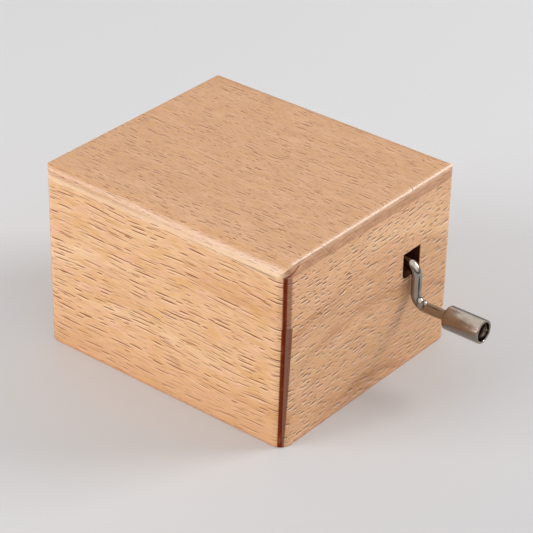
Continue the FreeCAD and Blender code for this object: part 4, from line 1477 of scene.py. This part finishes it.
@dataclass
class Movement:
    """Cylinder-and-comb movement with its worm drive, and the screws that hold it. Sizes are in millimetres.

    Attributes:
        comb_top: Height of the comb's upper face.
        comb_screw_x: Place of the comb screws along X.
        comb_screws_y: Their places along Y.
        strap_top: Height of the straps' upper face.
        straps_x: Middles of the straps along X.
        strap_screws_y: Places of the strap screws along Y.
        bracket_top: Height of the bracket's foot.
        bracket_y: Place of the bracket screws along Y.
        bracket_screws_x: Their places along X.
        bed_top: Height of the bedplate's upper face.
        bed_screws: Places of the bedplate screws.
        comb_head: Radius and height of the comb screws' heads.
        strap_head: The same for the strap screws.
        bracket_head: The same for the bracket screws.
        bed_head: The same for the bedplate screws.
    """

    comb_top: float = 18.5
    comb_screw_x: float = -21.5
    comb_screws_y: tuple[float, ...] = (-4.525, 4.925)
    strap_top: float = 28.16
    straps_x: tuple[float, ...] = (-1.14, 17.06)
    strap_screws_y: tuple[float, ...] = (11.7, 16.9)
    bracket_top: float = 13.1
    bracket_y: float = -16.5
    bracket_screws_x: tuple[float, ...] = (5.6, 10.3)
    bed_top: float = 11.5
    bed_screws: tuple[tuple[float, float], ...] = ((-9.02, -15.75), (-22.2, 17.75))
    comb_head: tuple[float, float] = (2.2, 1.3)
    strap_head: tuple[float, float] = (1.0, 0.65)
    bracket_head: tuple[float, float] = (1.15, 0.7)
    bed_head: tuple[float, float] = (2.0, 1.2)

    def screws(self) -> list[Screw]:
        """List the movement's screws, each with its slot at rest at another angle.

        Returns:
            The screws.
        """
        up = Vector((0, 0, 1))
        made = []
        for i, y in enumerate(self.comb_screws_y):
            place = Vector((self.comb_screw_x, y, self.comb_top))
            made.append(Screw(f"comb_screw_{i}", place, up, *self.comb_head, 35 + 50 * i))
        for i, x in enumerate(self.straps_x):
            for j, y in enumerate(self.strap_screws_y):
                place = Vector((x, y, self.strap_top))
                made.append(Screw(f"strap_screw_{i}{j}", place, up, *self.strap_head, 20 + 65 * i + 40 * j))
        for i, x in enumerate(self.bracket_screws_x):
            place = Vector((x, self.bracket_y, self.bracket_top))
            made.append(Screw(f"bracket_screw_{i}", place, up, *self.bracket_head, 70 - 55 * i))
        for i, (x, y) in enumerate(self.bed_screws):
            place = Vector((x, y, self.bed_top))
            made.append(Screw(f"bedplate_screw_{i}", place, up, *self.bed_head, 15 + 80 * i))
        return made

    def finishes(self) -> dict[str, bpy.types.Material]:
        """Build the movement's metals and its nylon.

        Returns:
            Materials by name.
        """
        finishes = (
            MetalFinish(
                name="ground_steel",
                color=srgb(186, 188, 192),
                dull=srgb(160, 160, 164),
                roughness=0.3,
                marks=(0.4, 9.0, 9.0),
            ),
            MetalFinish(
                name="screw_steel",
                color=srgb(170, 171, 176),
                dull=srgb(140, 140, 146),
                roughness=0.28,
                marks=(3.0, 3.0, 3.0),
            ),
            MetalFinish(
                name="drawn_brass",
                color=srgb(214, 178, 104),
                dull=srgb(186, 146, 80),
                roughness=0.26,
                marks=(5.0, 0.6, 5.0),
            ),
            MetalFinish(
                name="cast_zinc",
                color=srgb(172, 174, 178),
                dull=srgb(150, 151, 156),
                roughness=0.46,
                marks=(2.2, 2.2, 2.2),
                mark_depth_mm=0.02,
            ),
            MetalFinish(
                name="dull_lead",
                color=srgb(112, 113, 118),
                dull=srgb(88, 89, 94),
                roughness=0.58,
                marks=(2.6, 2.6, 2.6),
                mark_depth_mm=0.012,
            ),
            MouldedFinish(
                name="white_nylon",
                color=srgb(238, 234, 222),
                shade=srgb(226, 220, 205),
                roughness=0.38,
            ),
        )
        return {finish.name: finish.build() for finish in finishes}

    def dress(self) -> None:
        """Build every piece of the movement."""
        finishes = self.finishes()
        # Node, width of its broken edges and steps in them, finish, body and slot
        pieces = (
            ("bedplate", 0.22, 3, "cast_zinc", "case", "zinc"),
            ("comb", 0.05, 2, "ground_steel", "case", "steel"),
            ("comb_leads", 0.08, 2, "dull_lead", "case", "lead"),
            ("shaft_straps", 0.1, 2, "ground_steel", "case", "steel"),
            ("front_bracket", 0.12, 2, "ground_steel", "case", "steel"),
            ("cylinder_tube", 0.06, 2, "drawn_brass", "cylinder", "brass"),
            ("tune_pins", 0.0, 2, "ground_steel", "cylinder", "steel"),
            ("front_plug", 0.08, 2, "white_nylon", "cylinder", "nylon"),
            ("cylinder_arbor", 0.1, 2, "ground_steel", "cylinder", "steel"),
            ("worm_wheel", 0.04, 2, "white_nylon", "cylinder", "nylon"),
            ("worm", 0.0, 2, "white_nylon", "crank", "nylon"),
        )
        for node, width, steps, finish, body, slot in pieces:
            softened_node(node, width, finishes[finish], body, steps)
        for screw in self.screws():
            add_piece(screw.name, screw.mesh(), finishes["screw_steel"], "case")


# ----------------------------------------------------------------------------------------
# Hinges
# ----------------------------------------------------------------------------------------


@dataclass
class Hinges:
    """Brass butt hinges with their wood screws. Sizes are in millimetres.

    Attributes:
        middles_x: Middles of the two hinges along X.
        screw_reach: Distance of a screw from its hinge's middle.
        screw_y: Place of the screws along Y.
        lower_face: Height of the lower leaf's upper face.
        upper_face: Height of the upper leaf's lower face.
        head_radius: Radius of the screws' heads.
        head_height: How far the heads stand proud of the leaf.
        leaf_edge: Width of the leaves' broken edges.
    """

    middles_x: tuple[float, ...] = (-19.0, 19.0)
    screw_reach: float = 4.2
    screw_y: float = 26.4
    lower_face: float = 29.5
    upper_face: float = 29.58
    head_radius: float = 1.15
    head_height: float = 0.03
    leaf_edge: float = 0.05

    def dress(self) -> None:
        """Build the leaves and their screws."""
        brass = MetalFinish(
            name="hinge_brass",
            color=srgb(212, 174, 98),
            dull=srgb(178, 138, 74),
            roughness=0.24,
            marks=(4.0, 0.5, 4.0),
        ).build()
        screw_brass = MetalFinish(
            name="screw_brass",
            color=srgb(200, 162, 92),
            dull=srgb(160, 124, 66),
            roughness=0.3,
            marks=(3.0, 3.0, 3.0),
        ).build()
        softened_node("hinge_leaves_lower", self.leaf_edge, brass, "case")
        softened_node("hinge_leaves_upper", self.leaf_edge, brass, "lid")
        faces = (("case", self.lower_face, Vector((0, 0, 1))), ("lid", self.upper_face, Vector((0, 0, -1))))
        for i, middle in enumerate(self.middles_x):
            for j, side in enumerate((-1, 1)):
                for body, height, out in faces:
                    name, turn = f"hinge_screw_{body}_{i}{j}", 25 + 70 * i + 35 * j
                    place = Vector((middle + side * self.screw_reach, self.screw_y, height))
                    screw = Screw(name, place, out, self.head_radius, self.head_height, turn)
                    add_piece(screw.name, screw.mesh(), screw_brass, body)


# ----------------------------------------------------------------------------------------
# Studio
# ----------------------------------------------------------------------------------------


@dataclass
class SoftBox:
    """Square studio light that faces the case.

    Attributes:
        name: Name of the light.
        toward: Direction from the case to the light.
        distance: Distance from the case, in metres.
        size: Side of the light, in metres.
        power: Power, in watts.
    """

    name: str
    toward: Vector
    distance: float
    size: float
    power: float

    def place(self, target: Vector) -> None:
        """Put the light into the scene.

        Args:
            target: Point that it faces.
        """
        lamp = bpy.data.lights.new(self.name, "AREA")
        lamp.shape = "SQUARE"
        lamp.size = self.size
        lamp.energy = self.power
        holder = bpy.data.objects.new(self.name, lamp)
        direction = self.toward.normalized()
        holder.location = target + direction * self.distance
        holder.rotation_euler = direction.to_track_quat("Z", "Y").to_euler()
        bpy.context.scene.collection.objects.link(holder)


@dataclass
class Studio:
    """Pale table top, soft lights and the camera.

    Attributes:
        floor_half: Half of the table top's side, in metres.
        floor_color: Colour of the table top.
        fill: Strength of the light that comes from all round.
        air_color: Colour of that light.
        wall_glow: Brightness of the walls in reflections.
        wall_top: Height of a view ray at which the walls begin to brighten, as a part of its length.
        ceiling_glow: Brightness of the ceiling in reflections.
        ceiling_start: Height of a view ray at which the ceiling is at its brightest.
        camera_place: Where the camera stands, in metres.
        camera_target: Point that it looks at.
        camera_roll_deg: Roll of the camera.
        lens_mm: Focal length.
        sensor_mm: Width of the sensor.
    """

    floor_half: float = 3.0
    floor_color: Color = srgb(210, 210, 212)
    fill: float = 0.6
    air_color: Color = (1.0, 0.985, 0.965)
    wall_glow: float = 0.18
    wall_top: float = 0.05
    ceiling_glow: float = 1.5
    ceiling_start: float = 0.75
    camera_place: Vector = Vector((0.26707, -0.32899, 0.27371))
    camera_target: Vector = Vector((0.00768, -0.00348, 0.023))
    camera_roll_deg: float = 1.148
    lens_mm: float = 149.06
    sensor_mm: float = 36.0

    def floor(self) -> None:
        """Lay the table top."""
        dimming, right_share, front_share, near_mm, far_mm = 0.87, 0.92, 0.39, -20.0, 130.0
        roughness, gloss = 0.55, 0.25
        graph = Graph("pale_table")
        x, y, _ = graph.split(graph.point_mm())
        # Painted shade: the table top darkens towards the near right
        toward_right = graph.minus(graph.times(x, right_share), graph.times(y, front_share))
        shade = tuple(dimming * level for level in self.floor_color)
        dimmed = graph.smooth(toward_right, near_mm, far_mm)
        graph.give("Base Color", graph.mix(dimmed, self.floor_color, shade))
        graph.give("Roughness", roughness)
        graph.give("Specular IOR Level", gloss)
        half = self.floor_half
        corners = [(-half, -half, 0), (half, -half, 0), (half, half, 0), (-half, half, 0)]
        mesh = bpy.data.meshes.new("table_top")
        mesh.from_pydata(corners, [], [(0, 1, 2, 3)])
        mesh.materials.append(graph.material)
        table = bpy.data.objects.new("table_top", mesh)
        bpy.context.scene.collection.objects.link(table)

    def surroundings(self) -> None:
        """Fill the room with soft light, and show metal dim walls under a pale ceiling."""
        world = bpy.data.worlds.new("pale_room")
        bpy.context.scene.world = world
        world.use_nodes = True
        tree = world.node_tree
        background = tree.nodes["Background"]
        background.inputs["Color"].default_value = (*self.air_color, 1.0)
        rays = tree.nodes.new("ShaderNodeLightPath")
        direction = tree.nodes.new("ShaderNodeSeparateXYZ")
        tree.links.new(tree.nodes.new("ShaderNodeTexCoord").outputs["Generated"], direction.inputs[0])
        ceiling = tree.nodes.new("ShaderNodeMapRange")
        ceiling.interpolation_type = "SMOOTHSTEP"
        tree.links.new(direction.outputs["Z"], ceiling.inputs["Value"])
        ceiling.inputs["From Min"].default_value = self.wall_top
        ceiling.inputs["From Max"].default_value = self.ceiling_start
        ceiling.inputs["To Min"].default_value = self.wall_glow
        ceiling.inputs["To Max"].default_value = self.ceiling_glow
        strength = tree.nodes.new("ShaderNodeMapRange")
        tree.links.new(rays.outputs["Is Glossy Ray"], strength.inputs["Value"])
        strength.inputs["To Min"].default_value = self.fill
        tree.links.new(ceiling.outputs["Result"], strength.inputs["To Max"])
        tree.links.new(strength.outputs["Result"], background.inputs["Strength"])

    def lights(self) -> None:
        """Hang the lights."""
        window = Vector((-0.52, -0.78, 0.36))
        back = Vector((0.52, 0.66, 0.53))
        right = Vector((0.80, -0.20, 0.50))
        boxes = (
            SoftBox("window_light", window, distance=0.9, size=0.55, power=5.2),
            SoftBox("back_light", back, distance=0.9, size=0.38, power=4.2),
            SoftBox("right_fill", right, distance=1.2, size=0.8, power=1.2),
        )
        target = Vector((0, 0, 0.025))
        for box in boxes:
            box.place(target)

    def camera(self) -> None:
        """Set up the camera."""
        lens = bpy.data.cameras.new("camera")
        lens.sensor_width = self.sensor_mm
        lens.lens = self.lens_mm
        lens.clip_start = 0.01
        holder = bpy.data.objects.new("camera", lens)
        holder.location = self.camera_place
        aim = (self.camera_target - self.camera_place).to_track_quat("-Z", "Y")
        roll = Quaternion((0, 0, 1), math.radians(self.camera_roll_deg))
        holder.rotation_euler = (aim @ roll).to_euler()
        bpy.context.scene.collection.objects.link(holder)
        bpy.context.scene.camera = holder

    def set_up(self) -> None:
        """Set up the whole studio."""
        bpy.context.scene.view_settings.view_transform = "Standard"
        self.floor()
        self.surroundings()
        self.lights()
        self.camera()


def main() -> None:
    """Build the music box and its studio."""
    for thing in list(bpy.data.objects):
        if thing.type in {"CAMERA", "LIGHT"} or thing.name == "Cube":
            bpy.data.objects.remove(thing)
    for assembly in (WoodenCase(), Crank(), Movement(), Hinges()):
        log.info("dressing %s", type(assembly).__name__)
        assembly.dress()
    Studio().set_up()


if __name__ == "__main__":
    main()
